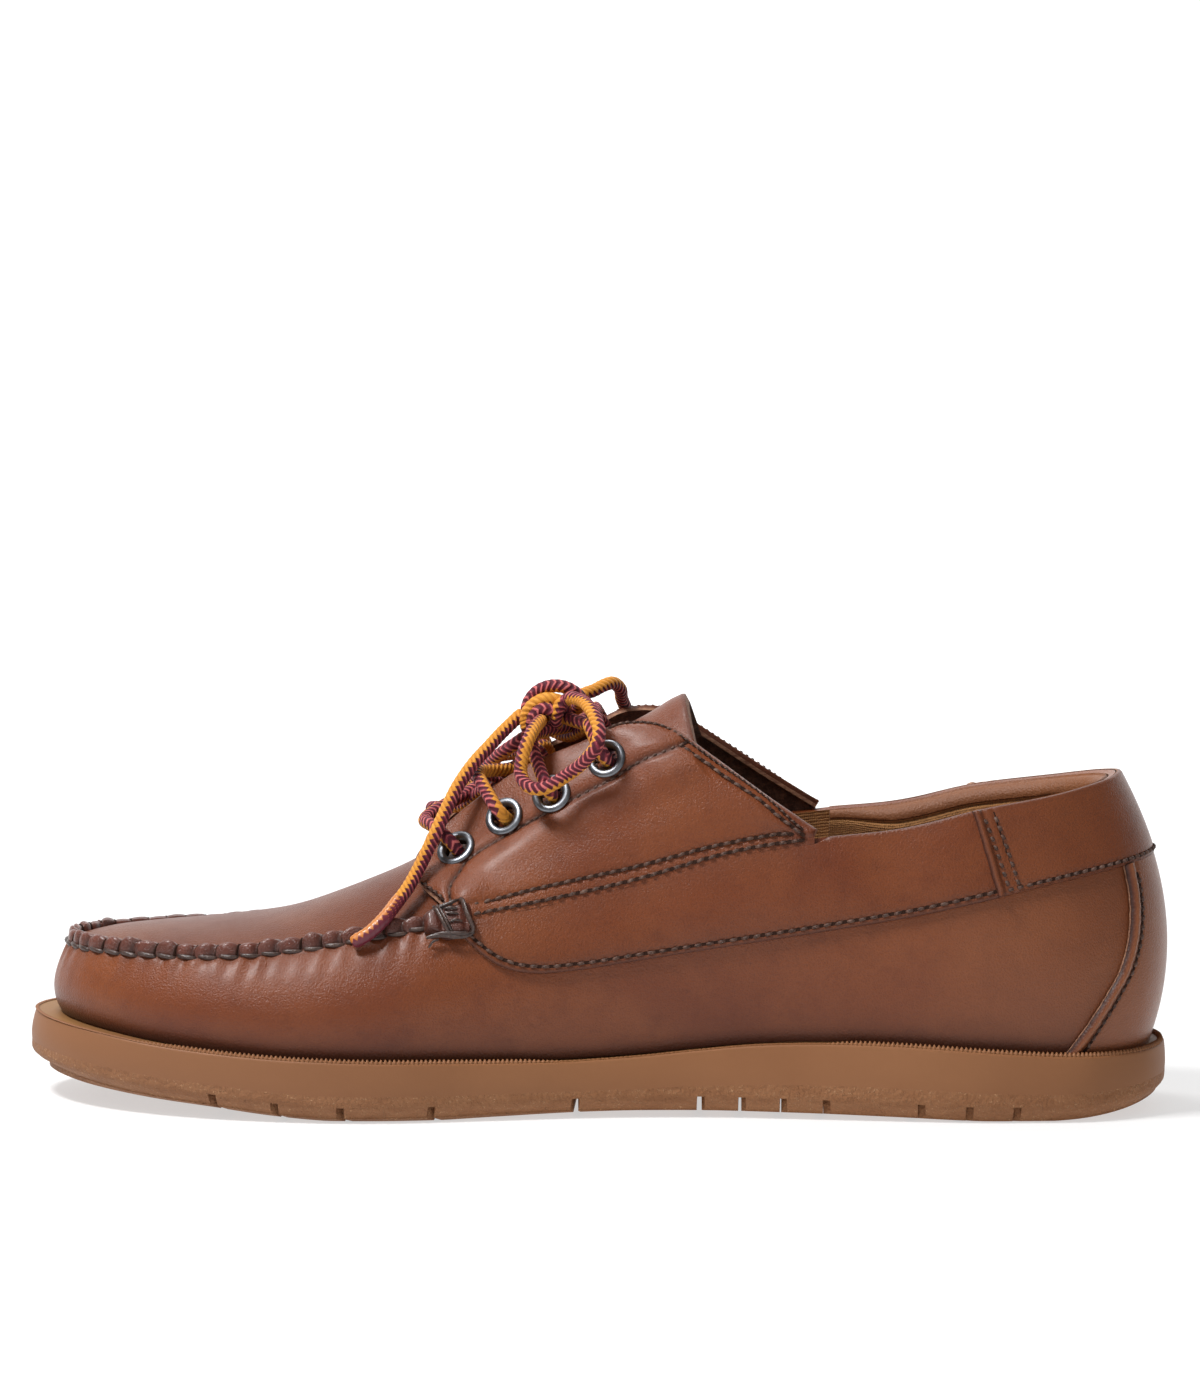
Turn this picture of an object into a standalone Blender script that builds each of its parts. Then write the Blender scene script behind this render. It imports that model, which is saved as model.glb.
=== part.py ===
"""Blucher moccasin, right shoe, as an assembly of separate solids.

The shoe stands on its sole with +X to the toe, +Y to the inner (medial) side and +Z up.
Tables are in millimetres, measured along X from the back of the sole, and every length
that a function returns is in metres.  The origin is on the floor, under the middle of the sole.
"""

import math

import bmesh
import bpy
import numpy as np
from mathutils import Vector

MM = 0.001
LENGTH = 0.3015            # sole, heel to toe
ORIGIN_X = 0.1514          # from the back of the heel to the origin
GAP = 0.0003               # between neighbouring pieces
WALL = 0.0020              # leather of the vamp, quarters and plug
OVERLAY = 0.0012           # leather of the bands sewn on the wall
FACING = 0.0021            # lace facing, two plies
COLUMNS = 66               # columns round the shoe
WALL_ROWS = 6              # rows up the wall
INSOLE = 0.0032            # sock on the sole
TONGUE = 0.0026            # tongue and its lining
TONGUE_SWEEP = 0.0035      # corners of the tongue's top, behind its middle
LACE = 0.0036              # round lace, across
UNDERLAP = 0.0070          # quarter that carries on under the facing
FACING_LAP = 0.0016        # facing below its lower row of stitches
STEP_BACK = 0.0900         # behind the facing the quarter band rises to the collar,
STEP_FRONT = 0.0945        # from here
RIDGE_WIDTH = 0.0031       # raised seam round the plug
RIDGE_HEIGHT = 0.0037

# One row for each section of the last, from the back of the heel to the toe.
# x, medial, lateral: outline of the sole.  ledge: from the outline in to the upper.
# low_*, high_*: how far the wall swells outwards at a third and two thirds of its height.
# top_*: upper edge of the wall, which is the collar behind, then the foot of the lace
# facing, then the raised seam round the plug.
SECTION_COLUMNS = (
    "x", "medial", "lateral", "ledge", "low_m", "low_l", "high_m", "high_l",
    "top_x", "top_m", "top_l", "top_z")
SECTIONS = (
    (0.7, 0.0, 0.0, 5.4, 8.5, 8.5, 13.3, 13.3, 15.2, 0.0, 0.0, 89.0),
    (6.0, 18.5, -18.5, 4.8, 7.5, 7.5, 10.5, 10.5, 19.6, 12.5, -12.5, 87.8),
    (19.0, 29.3, -29.3, 4.6, 6.0, 6.0, 7.0, 7.0, 31.0, 21.8, -21.8, 85.3),
    (42.0, 34.6, -34.8, 4.3, 4.8, 4.8, 5.5, 5.5, 50.0, 28.2, -28.4, 82.0),
    (80.0, 35.2, -37.2, 4.0, 5.0, 4.5, 5.0, 5.0, 76.0, 30.4, -31.2, 76.0),
    (98.0, 34.4, -38.6, 3.9, 5.2, 4.0, 5.0, 5.0, 93.5, 31.6, -32.2, 74.1),
    (118.0, 33.6, -40.6, 3.8, 5.5, 3.5, 4.8, 5.0, 112.0, 32.2, -33.0, 71.2),
    (150.0, 36.6, -45.0, 3.7, 5.5, 3.0, 4.5, 4.5, 143.0, 33.0, -34.3, 62.2),
    (180.0, 44.2, -50.4, 4.0, 4.5, 3.0, 5.5, 6.0, 172.0, 35.4, -36.6, 55.5),
    (208.0, 51.0, -52.0, 4.4, 3.8, 3.5, 9.0, 9.5, 199.0, 37.6, -38.2, 49.9),
    (235.0, 51.4, -49.0, 4.6, 3.8, 3.8, 9.5, 9.0, 228.0, 38.2, -37.0, 44.5),
    (258.0, 47.2, -42.2, 5.2, 4.0, 4.0, 7.0, 7.0, 252.0, 37.8, -33.5, 42.2),
    (277.0, 39.2, -32.8, 6.0, 4.3, 4.3, 4.5, 4.5, 271.5, 32.6, -26.0, 41.9),
    (291.0, 28.6, -21.6, 6.8, 4.5, 4.5, 3.6, 3.6, 284.0, 23.6, -16.2, 41.7),
    (299.2, 16.4, -9.6, 7.4, 4.5, 4.5, 3.4, 3.4, 290.2, 13.0, -5.4, 41.5),
    (302.2, 3.5, 3.5, 8.0, 4.5, 4.5, 3.3, 3.3, 292.0, 3.8, 3.8, 41.4),
)

# Sole along its length: top edge on each side, and the tread.
SOLE_COLUMNS = ("x", "rim_m", "rim_l", "tread")
SOLE = (
    (0.0, 17.9, 17.9, 4.9),
    (12.0, 17.4, 17.4, 1.9),
    (30.0, 17.6, 17.4, 0.0),
    (48.0, 18.6, 17.6, 0.0),
    (70.0, 19.9, 17.8, 0.7),
    (90.0, 20.2, 17.6, 1.2),
    (108.0, 19.5, 17.2, 1.4),
    (124.0, 17.9, 16.6, 1.5),
    (140.0, 16.2, 15.8, 1.4),
    (156.0, 15.2, 15.3, 1.1),
    (176.0, 15.2, 15.2, 0.5),
    (190.0, 15.5, 15.4, 0.0),
    (220.0, 16.1, 16.1, 0.0),
    (236.0, 16.7, 16.7, 1.2),
    (250.0, 17.6, 17.6, 2.7),
    (266.0, 18.9, 18.9, 3.9),
    (282.0, 20.7, 20.7, 5.3),
    (302.0, 22.7, 22.7, 7.6),
)

# Side of the sole, top to bottom: in from the outline at the side and at the toe,
# and height from the tread (0) to the top edge (1).
SIDE_COLUMNS = ("inset", "toe_inset", "height")
SOLE_SIDE = (
    (1.0, 2.6, 1.00),
    (0.3, 1.0, 0.84),
    (0.0, 0.0, 0.42),
    (0.5, 0.9, 0.17),
    (2.2, 4.6, 0.03),
)

# Grooves across the tread, and their width and depth.
GROOVES = (40.5, 53.0, 65.6, 90.4, 101.7, 112.5, 123.2, 155.7, 192.7, 216.3, 233.5, 249.9)
GROOVE_WIDTH = 0.0015
GROOVE_DEPTH = 0.0040

# Middle line of the plug, front to back.
CROWN_COLUMNS = ("x", "z")
CROWN = (
    (170.0, 84.0),
    (180.0, 77.0),
    (190.0, 69.6),
    (201.0, 62.6),
    (212.5, 57.2),
    (220.0, 54.2),
    (234.0, 49.4),
    (252.0, 46.6),
    (269.0, 45.2),
    (280.0, 43.9),
    (292.0, 41.4),
)
PLUG_BACK_X = 179.0        # where the plug ends, under the facings
SEAM_BACK_X = 194.5        # where the raised seam ends, at the tack

# Lace facing: x on its lower seam, and the point of its free edge that the section reaches.
FACING_COLUMNS = ("low_x", "edge_x", "edge_y", "edge_z")
FACINGS = (
    (188.5, 193.0, 35.5, 57.0),
    (184.0, 197.6, 28.5, 60.0),
    (178.0, 199.9, 22.5, 64.6),
    (171.0, 197.6, 17.5, 69.0),
    (163.0, 190.0, 15.0, 76.2),
    (152.0, 180.5, 15.5, 84.0),
    (140.0, 170.0, 16.3, 91.0),
    (128.0, 156.0, 17.5, 97.3),
    (116.0, 145.0, 18.5, 102.6),
    (108.0, 135.5, 20.6, 101.6),
    (101.0, 124.0, 24.4, 94.2),
    (96.5, 106.5, 29.8, 82.4),
    (94.4, 95.6, 32.4, 75.6),
)
EDGE_NORMAL = (0.36, 0.72, 0.60)    # way the facing looks at its free edge, medial side

# Eyelets, bottom to top, and the sizes of one.
EYELET_COLUMNS = ("x", "z")
EYELETS = (
    (188.0, 68.9),
    (175.6, 77.0),
    (163.3, 83.4),
    (149.1, 93.1),
)
# Half profile of an eyelet: out from its axis, and up from the leather.
EYELET_PROFILE = (
    (2.75, 0.90), (3.40, 1.25), (4.30, 1.20), (5.00, 0.50), (3.20, 0.45), (3.20, -2.60),
    (2.60, -2.60))
EYELET_HOLE = 0.0036       # radius of the hole in the facing
EYELET_SIDES = 10

# Way of the lace through one eyelet, from the throat under the facing, up the hole and back
# over the facing's edge: towards the edge in mm, the same as a share of the way from the eyelet
# to the edge, and height over the facing.
PASSAGE_COLUMNS = ("ahead", "share", "height")
PASSAGE = (
    (2.5, 1.0, -6.2),
    (-1.0, 1.0, -5.8),
    (1.6, 0.3, -5.7),
    (0.5, 0.0, -4.5),
    (0.0, 0.0, -2.2),
    (0.0, 0.0, 0.6),
    (0.6, 0.0, 2.6),
    (2.4, 0.0, 3.8),
    (0.5, 0.5, 3.9),
    (0.0, 1.0, 3.6),
    (3.0, 1.0, 2.4),
)
HOLE_ROWS = slice(4, None)      # rows of the way that starts in the hole
CROSSING_RISE = 0.0016          # strand over its partner at a crossing
TIE_COLUMNS = ("x", "y", "z")
TIES = (                        # from the top eyelets up to the knot, medial and lateral
    ((153.6, 14.0, 100.8), (157.4, 10.6, 101.4), (160.4, 7.6, 102.0)),
    ((153.6, -13.6, 100.6), (157.4, -7.8, 101.2), (160.4, -1.6, 101.8)),
)

# Knot: its middle and its half sizes.
KNOT = ((165.6, 4.0, 105.0), (4.6, 5.2, 5.6))

# Free parts of the lace, out from the knot: x, y and z.
LACE_ROUTES = {
    "lace_loop_medial": (
        (162.8, 12.0, 102.2), (162.5, 12.6, 104.4), (161.4, 13.0, 106.4), (159.3, 13.6, 107.8),
        (156.6, 15.6, 107.7), (154.1, 19.4, 106.4), (152.0, 24.2, 103.8), (150.8, 27.8, 100.7),
        (151.3, 29.4, 97.3), (153.4, 28.8, 94.2), (156.2, 27.6, 91.3), (159.2, 27.6, 89.0),
        (162.1, 29.0, 87.2), (165.0, 29.8, 85.9), (168.0, 29.0, 85.8), (170.2, 27.4, 87.1),
        (171.2, 26.0, 89.5), (170.9, 25.2, 93.1), (169.7, 23.6, 97.1), (168.2, 19.5, 100.2),
        (166.6, 13.6, 102.2)),
    "lace_loop_lateral": (
        (157.9, -1.5, 106.6), (155.9, -3.0, 107.4), (153.5, -5.0, 108.1), (151.3, -7.5, 109.1),
        (148.8, -11.0, 109.5), (147.0, -15.0, 107.6), (146.7, -19.5, 104.6),
        (145.8, -23.0, 101.4), (147.0, -27.3, 97.0), (149.7, -29.5, 93.4), (153.9, -28.9, 90.4),
        (159.3, -28.6, 87.9), (164.5, -30.1, 86.8), (168.5, -29.0, 88.0), (170.0, -26.8, 91.2),
        (169.8, -25.2, 95.2), (168.6, -21.6, 99.4), (167.2, -15.5, 102.4), (166.4, -9.6, 104.0),
        (166.0, -4.0, 104.6)),
    "lace_end_medial": (
        (171.9, 6.0, 103.2), (173.7, 7.5, 101.5), (177.3, 10.5, 98.1), (180.5, 13.6, 94.7),
        (184.0, 17.2, 91.0), (188.2, 21.0, 84.9), (191.0, 24.0, 79.1), (193.3, 26.8, 73.9),
        (195.7, 27.8, 68.5), (198.1, 29.0, 63.5), (200.4, 31.4, 59.4), (203.2, 35.2, 55.7),
        (206.2, 39.9, 52.1), (210.0, 41.6, 48.6), (214.1, 41.8, 46.2)),
    "lace_end_lateral": (
        (169.0, 5.0, 98.1), (170.8, 5.0, 96.9), (172.4, 5.2, 95.8), (174.2, 5.0, 94.5),
        (176.1, 4.0, 93.1), (178.1, 2.0, 91.4), (180.1, -0.8, 89.3), (182.1, -4.0, 87.0),
        (183.9, -8.2, 84.6), (185.4, -11.2, 82.6), (187.2, -14.6, 82.6), (189.0, -18.6, 81.4),
        (190.6, -22.8, 78.4), (191.9, -26.6, 74.2), (193.8, -28.6, 69.6), (196.0, -29.6, 65.0),
        (198.8, -31.4, 60.6), (202.0, -34.4, 56.6), (206.0, -39.3, 53.0), (210.5, -41.2, 49.8),
        (215.0, -41.4, 47.6)),
}

# Tongue, front to back: middle height, half its width and how far its edges drop.
TONGUE_COLUMNS = ("x", "z", "half", "drop")
TONGUE_ROWS = (
    (185.0, 70.2, 23.0, 11.0),
    (176.0, 76.8, 23.0, 11.0),
    (166.0, 83.8, 23.0, 11.5),
    (154.0, 92.4, 22.5, 12.0),
    (142.0, 101.0, 21.5, 12.5),
    (129.5, 108.4, 20.0, 12.0),
)

# Lower edge of the quarter band and of the heel collar.
BAND_COLUMNS = ("x", "z")
BAND_LOW = (
    (4.0, 67.6),
    (19.5, 64.8),
    (33.6, 62.0),
    (47.6, 58.8),
    (68.0, 54.2),
    (93.0, 49.8),
    (125.0, 44.4),
    (141.0, 41.7),
    (156.5, 39.3),
    (166.8, 38.6),
    (172.3, 39.3),
    (177.1, 41.1),
    (182.1, 44.6),
    (186.5, 48.6),
)
COLLAR_FRONT = ((46.1, 59.0), (53.3, 82.0))           # front edge of the heel collar, x and z
# Front edge of the heel counter, bottom to top.
COUNTER_FRONT = ((28.0, 19.0), (22.0, 27.5), (18.5, 32.8), (14.9, 38.6), (12.8, 44.4),
                 (11.8, 55.6), (13.2, 64.0))
# Padded collar: inwards from the outside of the wall, and down from the collar line.
PAD_SECTION = ((2.4, 19.0), (4.6, 15.0), (6.4, 9.5), (7.2, 5.0), (6.4, 1.8), (4.8, 0.0),
               (3.2, 0.0), (2.4, 1.4))


def columns(names, rows):
    """A table as one array of metres for each named column."""
    return dict(zip(names, np.array(rows, dtype=float).T * MM))


def slopes(knots, values):
    """Slope at each row of a smooth curve through rows at uneven knots."""
    step = np.diff(knots)[:, None]
    rate = np.diff(values, axis=0) / step
    inner = (rate[:-1] * step[1:] + rate[1:] * step[:-1]) / (step[:-1] + step[1:])
    return np.vstack((rate[:1], inner, rate[-1:]))


def through(knots, values, at):
    """Cubic curve through the rows of values, read at the knots in at."""
    knots = np.asarray(knots, dtype=float)
    values = np.asarray(values, dtype=float)
    single = values.ndim == 1
    if single:
        values = values[:, None]
    slope = slopes(knots, values)
    at = np.asarray(at, dtype=float)
    row = np.clip(np.searchsorted(knots, at, side="right") - 1, 0, len(knots) - 2)
    step = (knots[row + 1] - knots[row])[..., None]
    f = np.clip((at - knots[row])[..., None] / step, 0.0, 1.0)
    result = ((2 * f**3 - 3 * f**2 + 1) * values[row]
              + (f**3 - 2 * f**2 + f) * step * slope[row]
              + (3 * f**2 - 2 * f**3) * values[row + 1]
              + (f**3 - f**2) * step * slope[row + 1])
    return result[..., 0] if single else result


def ramp(x, start, end):
    """Soft step from 0 at start to 1 at end."""
    f = np.clip((np.asarray(x, dtype=float) - start) / (end - start), 0.0, 1.0)
    return f * f * (3.0 - 2.0 * f)


def unit(vectors):
    """Vectors of length one."""
    return vectors / np.maximum(np.linalg.norm(vectors, axis=-1, keepdims=True), 1e-12)


def along_ring(medial, lateral):
    """Rows of one side and then of the other, as one closed ring with three rows of overlap."""
    ring = np.concatenate((medial, lateral[-2:0:-1]))
    return np.concatenate((ring[-3:], ring, ring[:4]))


section = columns(SECTION_COLUMNS, SECTIONS)
sole = columns(SOLE_COLUMNS, SOLE)
crown = columns(CROWN_COLUMNS, CROWN)
facing = columns(FACING_COLUMNS, FACINGS)
band = columns(BAND_COLUMNS, BAND_LOW)


def ring_knots():
    """Place of each row round the shoe: 0 at the heel, 0.5 at the toe, 1 at the heel again."""
    steps = 0.0
    for side in ("medial", "lateral"):
        steps = steps + np.hypot(np.diff(section["x"]), np.diff(section[side]))
    half = np.concatenate(([0.0], np.cumsum(steps)))
    half = 0.5 * half / half[-1]
    ring = np.concatenate((half, 1.0 - half[-2:0:-1]))
    return np.concatenate((ring[-3:] - 1.0, ring, ring[:4] + 1.0))


RING_KNOTS = ring_knots()


def ring_value(name_medial, name_lateral, u):
    """A column of the section table at the places u round the shoe."""
    rows = along_ring(section[name_medial], section[name_lateral])
    return through(RING_KNOTS, rows, np.mod(u, 1.0))


def sole_top(x, y):
    """Height of the sole's top face, which tilts a little from one side to the other."""
    medial = through(sole["x"], sole["rim_m"], x)
    lateral = through(sole["x"], sole["rim_l"], x)
    return lateral + (medial - lateral) * ramp(y, -0.035, 0.035)


def tread(x):
    """Height of the tread along the sole, flat under heel and ball."""
    return np.maximum(through(sole["x"], sole["tread"], x), 0.0)


def outline(u):
    """Outline of the sole in plan, and its outward direction."""
    def point(at):
        return np.stack((ring_value("x", "x", at), ring_value("medial", "lateral", at)), axis=-1)
    step = 1e-4
    way = unit(point(u + step) - point(u - step))
    outward = np.stack((-way[..., 1], way[..., 0]), axis=-1)
    return point(u), outward


def wall(u, v, lift=0.0):
    """Outside of the upper's wall: a Bezier column from the sole (v 0) to its top line (v 1)."""
    def point(u, v):
        edge, outward = outline(u)
        foot = edge - outward * ring_value("ledge", "ledge", u)[..., None]
        top = np.stack((ring_value("top_x", "top_x", u), ring_value("top_m", "top_l", u)), axis=-1)
        low = foot + outward * ring_value("low_m", "low_l", u)[..., None]
        high = top + outward * ring_value("high_m", "high_l", u)[..., None]
        foot_z = sole_top(foot[..., 0], foot[..., 1]) + GAP
        top_z = ring_value("top_z", "top_z", u)
        w = v[..., None]
        plan = ((1 - w)**3 * foot + 3 * (1 - w)**2 * w * low
                + 3 * (1 - w) * w**2 * high + w**3 * top)
        return np.concatenate((plan, (foot_z + (top_z - foot_z) * v)[..., None]), axis=-1)
    u, v = np.broadcast_arrays(np.asarray(u, dtype=float), np.asarray(v, dtype=float))
    place = point(u, v)
    step = 1e-4
    normal = unit(np.cross(point(u, v + step) - point(u, v - step),
                           point(u + step, v) - point(u - step, v)))
    lift = np.broadcast_to(lift, u.shape)[..., None]
    return place + normal * lift


def level(u, z):
    """How far up the wall the height z is, from 0 at the sole to 1 at the top line."""
    edge, outward = outline(u)
    foot = edge - outward * ring_value("ledge", "ledge", u)[..., None]
    foot_z = sole_top(foot[..., 0], foot[..., 1]) + GAP
    return (z - foot_z) / (ring_value("top_z", "top_z", u) - foot_z)


def around(count):
    """Columns round the shoe, closer together at the heel and the toe."""
    k = np.arange(count) / count
    return k - 0.4 * np.sin(4 * math.pi * k) / (4 * math.pi)


def wall_columns(start, end):
    """The wall's own columns between two places round the shoe, with the two ends."""
    u = np.concatenate((around(COLUMNS) - 1.0, around(COLUMNS)))
    inside = u[(u > start + 0.002) & (u < end - 0.002)]
    return np.concatenate(([start], inside, [end]))


def place_of_x(x, side, v=1.0):
    """Place u on one side (1 medial, -1 lateral) where the wall at v crosses x."""
    u = np.linspace(0.0, 0.5, 2001)
    xs = wall(u if side > 0 else 1.0 - u, np.full_like(u, v))[..., 0]
    start = int(np.argmin(xs[:200]))
    found = np.interp(x, xs[start:], u[start:])
    return found if side > 0 else 1.0 - found


def tidy(point):
    """From the heel's back to the shoe's own origin."""
    return point - np.array((ORIGIN_X, 0.0, 0.0))


# ---------------------------------------------------------------- scene helpers

def clear_scene():
    """Empty the scene."""
    for item in list(bpy.data.objects):
        bpy.data.objects.remove(item, do_unlink=True)


def collection(name):
    """A new collection in the scene."""
    group = bpy.data.collections.new(name)
    bpy.context.scene.collection.children.link(group)
    return group


def material(name, colour, roughness, metallic=0.0):
    """A plain Principled material."""
    made = bpy.data.materials.new(name)
    made.use_nodes = True
    shader = made.node_tree.nodes["Principled BSDF"]
    shader.inputs["Base Color"].default_value = (*colour, 1.0)
    shader.inputs["Roughness"].default_value = roughness
    shader.inputs["Metallic"].default_value = metallic
    return made


clear_scene()
shoe = collection("blucher_moccasin")
cutters = collection("cutters")
LEATHER = material("brown_leather", (0.165, 0.055, 0.025), 0.38)
LINING = material("tan_lining", (0.30, 0.17, 0.07), 0.85)
RUBBER = material("gum_rubber", (0.33, 0.15, 0.055), 0.60)
METAL = material("gunmetal", (0.16, 0.16, 0.17), 0.28, 1.0)
CORD = material("lace_cord", (0.62, 0.25, 0.03), 0.80)


def add_mesh(name, vertices, faces, finish, group=None):
    """An object from points in the heel's frame: doubles merged, faces pointing out."""
    mesh = bpy.data.meshes.new(name)
    mesh.from_pydata([tuple(p) for p in tidy(np.asarray(vertices))], [], faces)
    body = bmesh.new()
    body.from_mesh(mesh)
    bmesh.ops.remove_doubles(body, verts=body.verts, dist=1e-6)
    bmesh.ops.dissolve_degenerate(body, edges=body.edges, dist=1e-6)
    bmesh.ops.triangulate(body, faces=body.faces)
    bmesh.ops.recalc_face_normals(body, faces=body.faces)
    body.to_mesh(mesh)
    body.free()
    mesh.shade_smooth()
    mesh.set_sharp_from_angle(angle=math.radians(40))
    item = bpy.data.objects.new(name, mesh)
    (group or shoe).objects.link(item)
    mesh.materials.append(finish)
    return item


def grid_faces(rows, count, first, closed, flip=False):
    """Quads of a grid of rows by count points, joined up on itself along the rows if closed."""
    faces = []
    for i in range(rows if closed else rows - 1):
        for j in range(count - 1):
            a = first + i * count + j
            b = first + ((i + 1) % rows) * count + j
            quad = (a, b, b + 1, a + 1)
            faces.append(quad[::-1] if flip else quad)
    return faces


def sheet(name, outer, inner, finish, closed=False, group=None):
    """A solid between two grids of the same size: both faces, both rims and, if open, the ends."""
    rows, count = outer.shape[:2]
    size = rows * count
    vertices = np.concatenate((outer.reshape(-1, 3), inner.reshape(-1, 3)))
    faces = grid_faces(rows, count, 0, closed) + grid_faces(rows, count, size, closed, True)
    for i in range(rows if closed else rows - 1):
        a, b = i * count, ((i + 1) % rows) * count
        faces.append((b, a, size + a, size + b))
        a, b = a + count - 1, b + count - 1
        faces.append((a, b, size + b, size + a))
    if not closed:
        for i, turn in ((0, 1), (rows - 1, -1)):
            for j in range(count - 1):
                a = i * count + j
                faces.append((a, a + 1, size + a + 1, size + a)[::turn])
    return add_mesh(name, vertices, faces, finish, group)


def stack(name, rings, finish, closed_section=False, group=None):
    """A solid of rings with the same number of points, or of closed sections along a path."""
    rings = np.asarray(rings)
    count, points = rings.shape[:2]
    faces = []
    for i in range(count - 1):
        for j in range(points):
            a, b = i * points + j, i * points + (j + 1) % points
            faces.append((a, b, b + points, a + points))
    if closed_section:
        faces.append(tuple(range(points))[::-1])
        faces.append(tuple(range((count - 1) * points, count * points)))
    return add_mesh(name, rings.reshape(-1, 3), faces, finish, group)


def boolean(target, cutter, operation):
    """Join or cut with a live modifier, and put the other shape with the cutters."""
    change = target.modifiers.new(operation.lower() + "_" + cutter.name, "BOOLEAN")
    change.operation = operation
    change.solver = "EXACT"
    change.object = cutter
    cutter.hide_render = True
    cutter.display_type = "WIRE"


def tube(name, points, detail=2, group=None):
    """A round cord along its points."""
    route = tidy(np.asarray(points, dtype=float))
    curve = bpy.data.curves.new(name, "CURVE")
    curve.dimensions = "3D"
    curve.bevel_depth = LACE / 2
    curve.bevel_resolution = detail
    curve.use_fill_caps = True
    spline = curve.splines.new("POLY")
    spline.points.add(len(route) - 1)
    for point, place in zip(spline.points, route):
        point.co = (*place, 1.0)
    item = bpy.data.objects.new(name, curve)
    (group or shoe).objects.link(item)
    curve.materials.append(CORD)
    return item


def as_mesh(item):
    """The curve object as a welded mesh object of the same name, in the same collection."""
    name = item.name
    group = item.users_collection[0]
    bpy.context.view_layer.update()
    seen = item.evaluated_get(bpy.context.evaluated_depsgraph_get())
    mesh = bpy.data.meshes.new_from_object(seen)
    body = bmesh.new()
    body.from_mesh(mesh)
    bmesh.ops.remove_doubles(body, verts=body.verts, dist=1e-5)
    body.to_mesh(mesh)
    body.free()
    made = bpy.data.objects.new(name + "_mesh", mesh)
    made.matrix_world = item.matrix_world
    bpy.data.objects.remove(item, do_unlink=True)
    made.name = name
    group.objects.link(made)
    return made


# ---------------------------------------------------------------- sole

def sole_ring(u, inset, z):
    """Ring on the sole, in from its outline, at the heights z(x, y)."""
    edge, outward = outline(u)
    plan = edge - outward * np.broadcast_to(inset, u.shape)[..., None]
    return np.concatenate((plan, z(plan[:, 0], plan[:, 1])[:, None]), axis=1)


def toward_spine(ring, share, z):
    """The ring drawn in towards the middle line, to share of its width."""
    mirrored = np.concatenate((ring[:1], ring[:0:-1]))
    middle = (ring[:, :2] + mirrored[:, :2]) / 2
    middle[:, 0] = 0.004 + middle[:, 0] * (LENGTH - 0.008) / LENGTH
    plan = middle + (ring[:, :2] - middle) * share
    return np.concatenate((plan, z(plan[:, 0], plan[:, 1])[:, None]), axis=1)


def tread_at(x, y):
    """Tread as a face: the edge is lifted a little from the ball forwards."""
    return tread(x)


def make_outsole():
    """Gum rubber sole with its side, arch, toe spring and the grooves across its tread."""
    u = around(COLUMNS)
    edge = outline(u)[0]
    toe = ramp(edge[:, 0], 0.255, 0.300)
    edge_lift = 0.0004 + 0.0007 * ramp(edge[:, 0], 0.130, 0.185)
    side = columns(SIDE_COLUMNS, SOLE_SIDE)
    rings = []
    for inset, toe_inset, height in zip(side["inset"], side["toe_inset"], side["height"] / MM):
        def z(x, y, height=height):
            low = tread(x) + edge_lift
            return low + (sole_top(x, y) - low) * height
        rings.append(sole_ring(u, inset + (toe_inset - inset) * toe, z))
    top = [toward_spine(rings[0], share, sole_top) for share in (0.0, 0.5)]
    bottom_edge = sole_ring(u, 0.0075, tread_at)
    bottom = toward_spine(bottom_edge, 0.0, tread_at)
    made = stack("outsole", top + rings + [bottom_edge, bottom], RUBBER)
    for number, x in enumerate(GROOVES):
        floor = float(tread(x * MM))
        bpy.ops.mesh.primitive_cube_add(
            size=1.0, location=(x * MM - ORIGIN_X, 0.0, floor + GROOVE_DEPTH - 0.01))
        cutter = bpy.context.object
        cutter.name = "groove_%d" % (number + 1)
        cutter.scale = (GROOVE_WIDTH, 0.2, 0.02)
        for group in list(cutter.users_collection):
            group.objects.unlink(cutter)
        cutters.objects.link(cutter)
        boolean(made, cutter, "DIFFERENCE")
    return made


def make_insole():
    """Sock that lies on the sole inside the upper."""
    u = around(44)
    inset = ring_value("ledge", "ledge", u) + WALL + 0.0012

    def under(x, y):
        return sole_top(x, y) + GAP

    def over(x, y):
        return sole_top(x, y) + GAP + INSOLE
    low = sole_ring(u, inset, under)
    high = sole_ring(u, inset + 0.0006, over)
    rings = [toward_spine(low, 0.0, under), toward_spine(low, 0.5, under), low,
             high, toward_spine(high, 0.5, over), toward_spine(high, 0.0, over)]
    return stack("insole", rings, LINING)


# ---------------------------------------------------------------- upper

def facing_edge(u):
    """Free edge of the facing for the column that stands at u on the facing's seam."""
    side = np.where(np.mod(u, 1.0) < 0.5, 1.0, -1.0)
    x = wall(u, 1.0)[..., 0]
    order = slice(None, None, -1)
    rows = np.stack((facing["edge_x"], facing["edge_y"], facing["edge_z"]), axis=-1)
    edge = through(facing["low_x"][order], rows[order], x)
    edge[..., 1] *= side
    return edge, side


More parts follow.
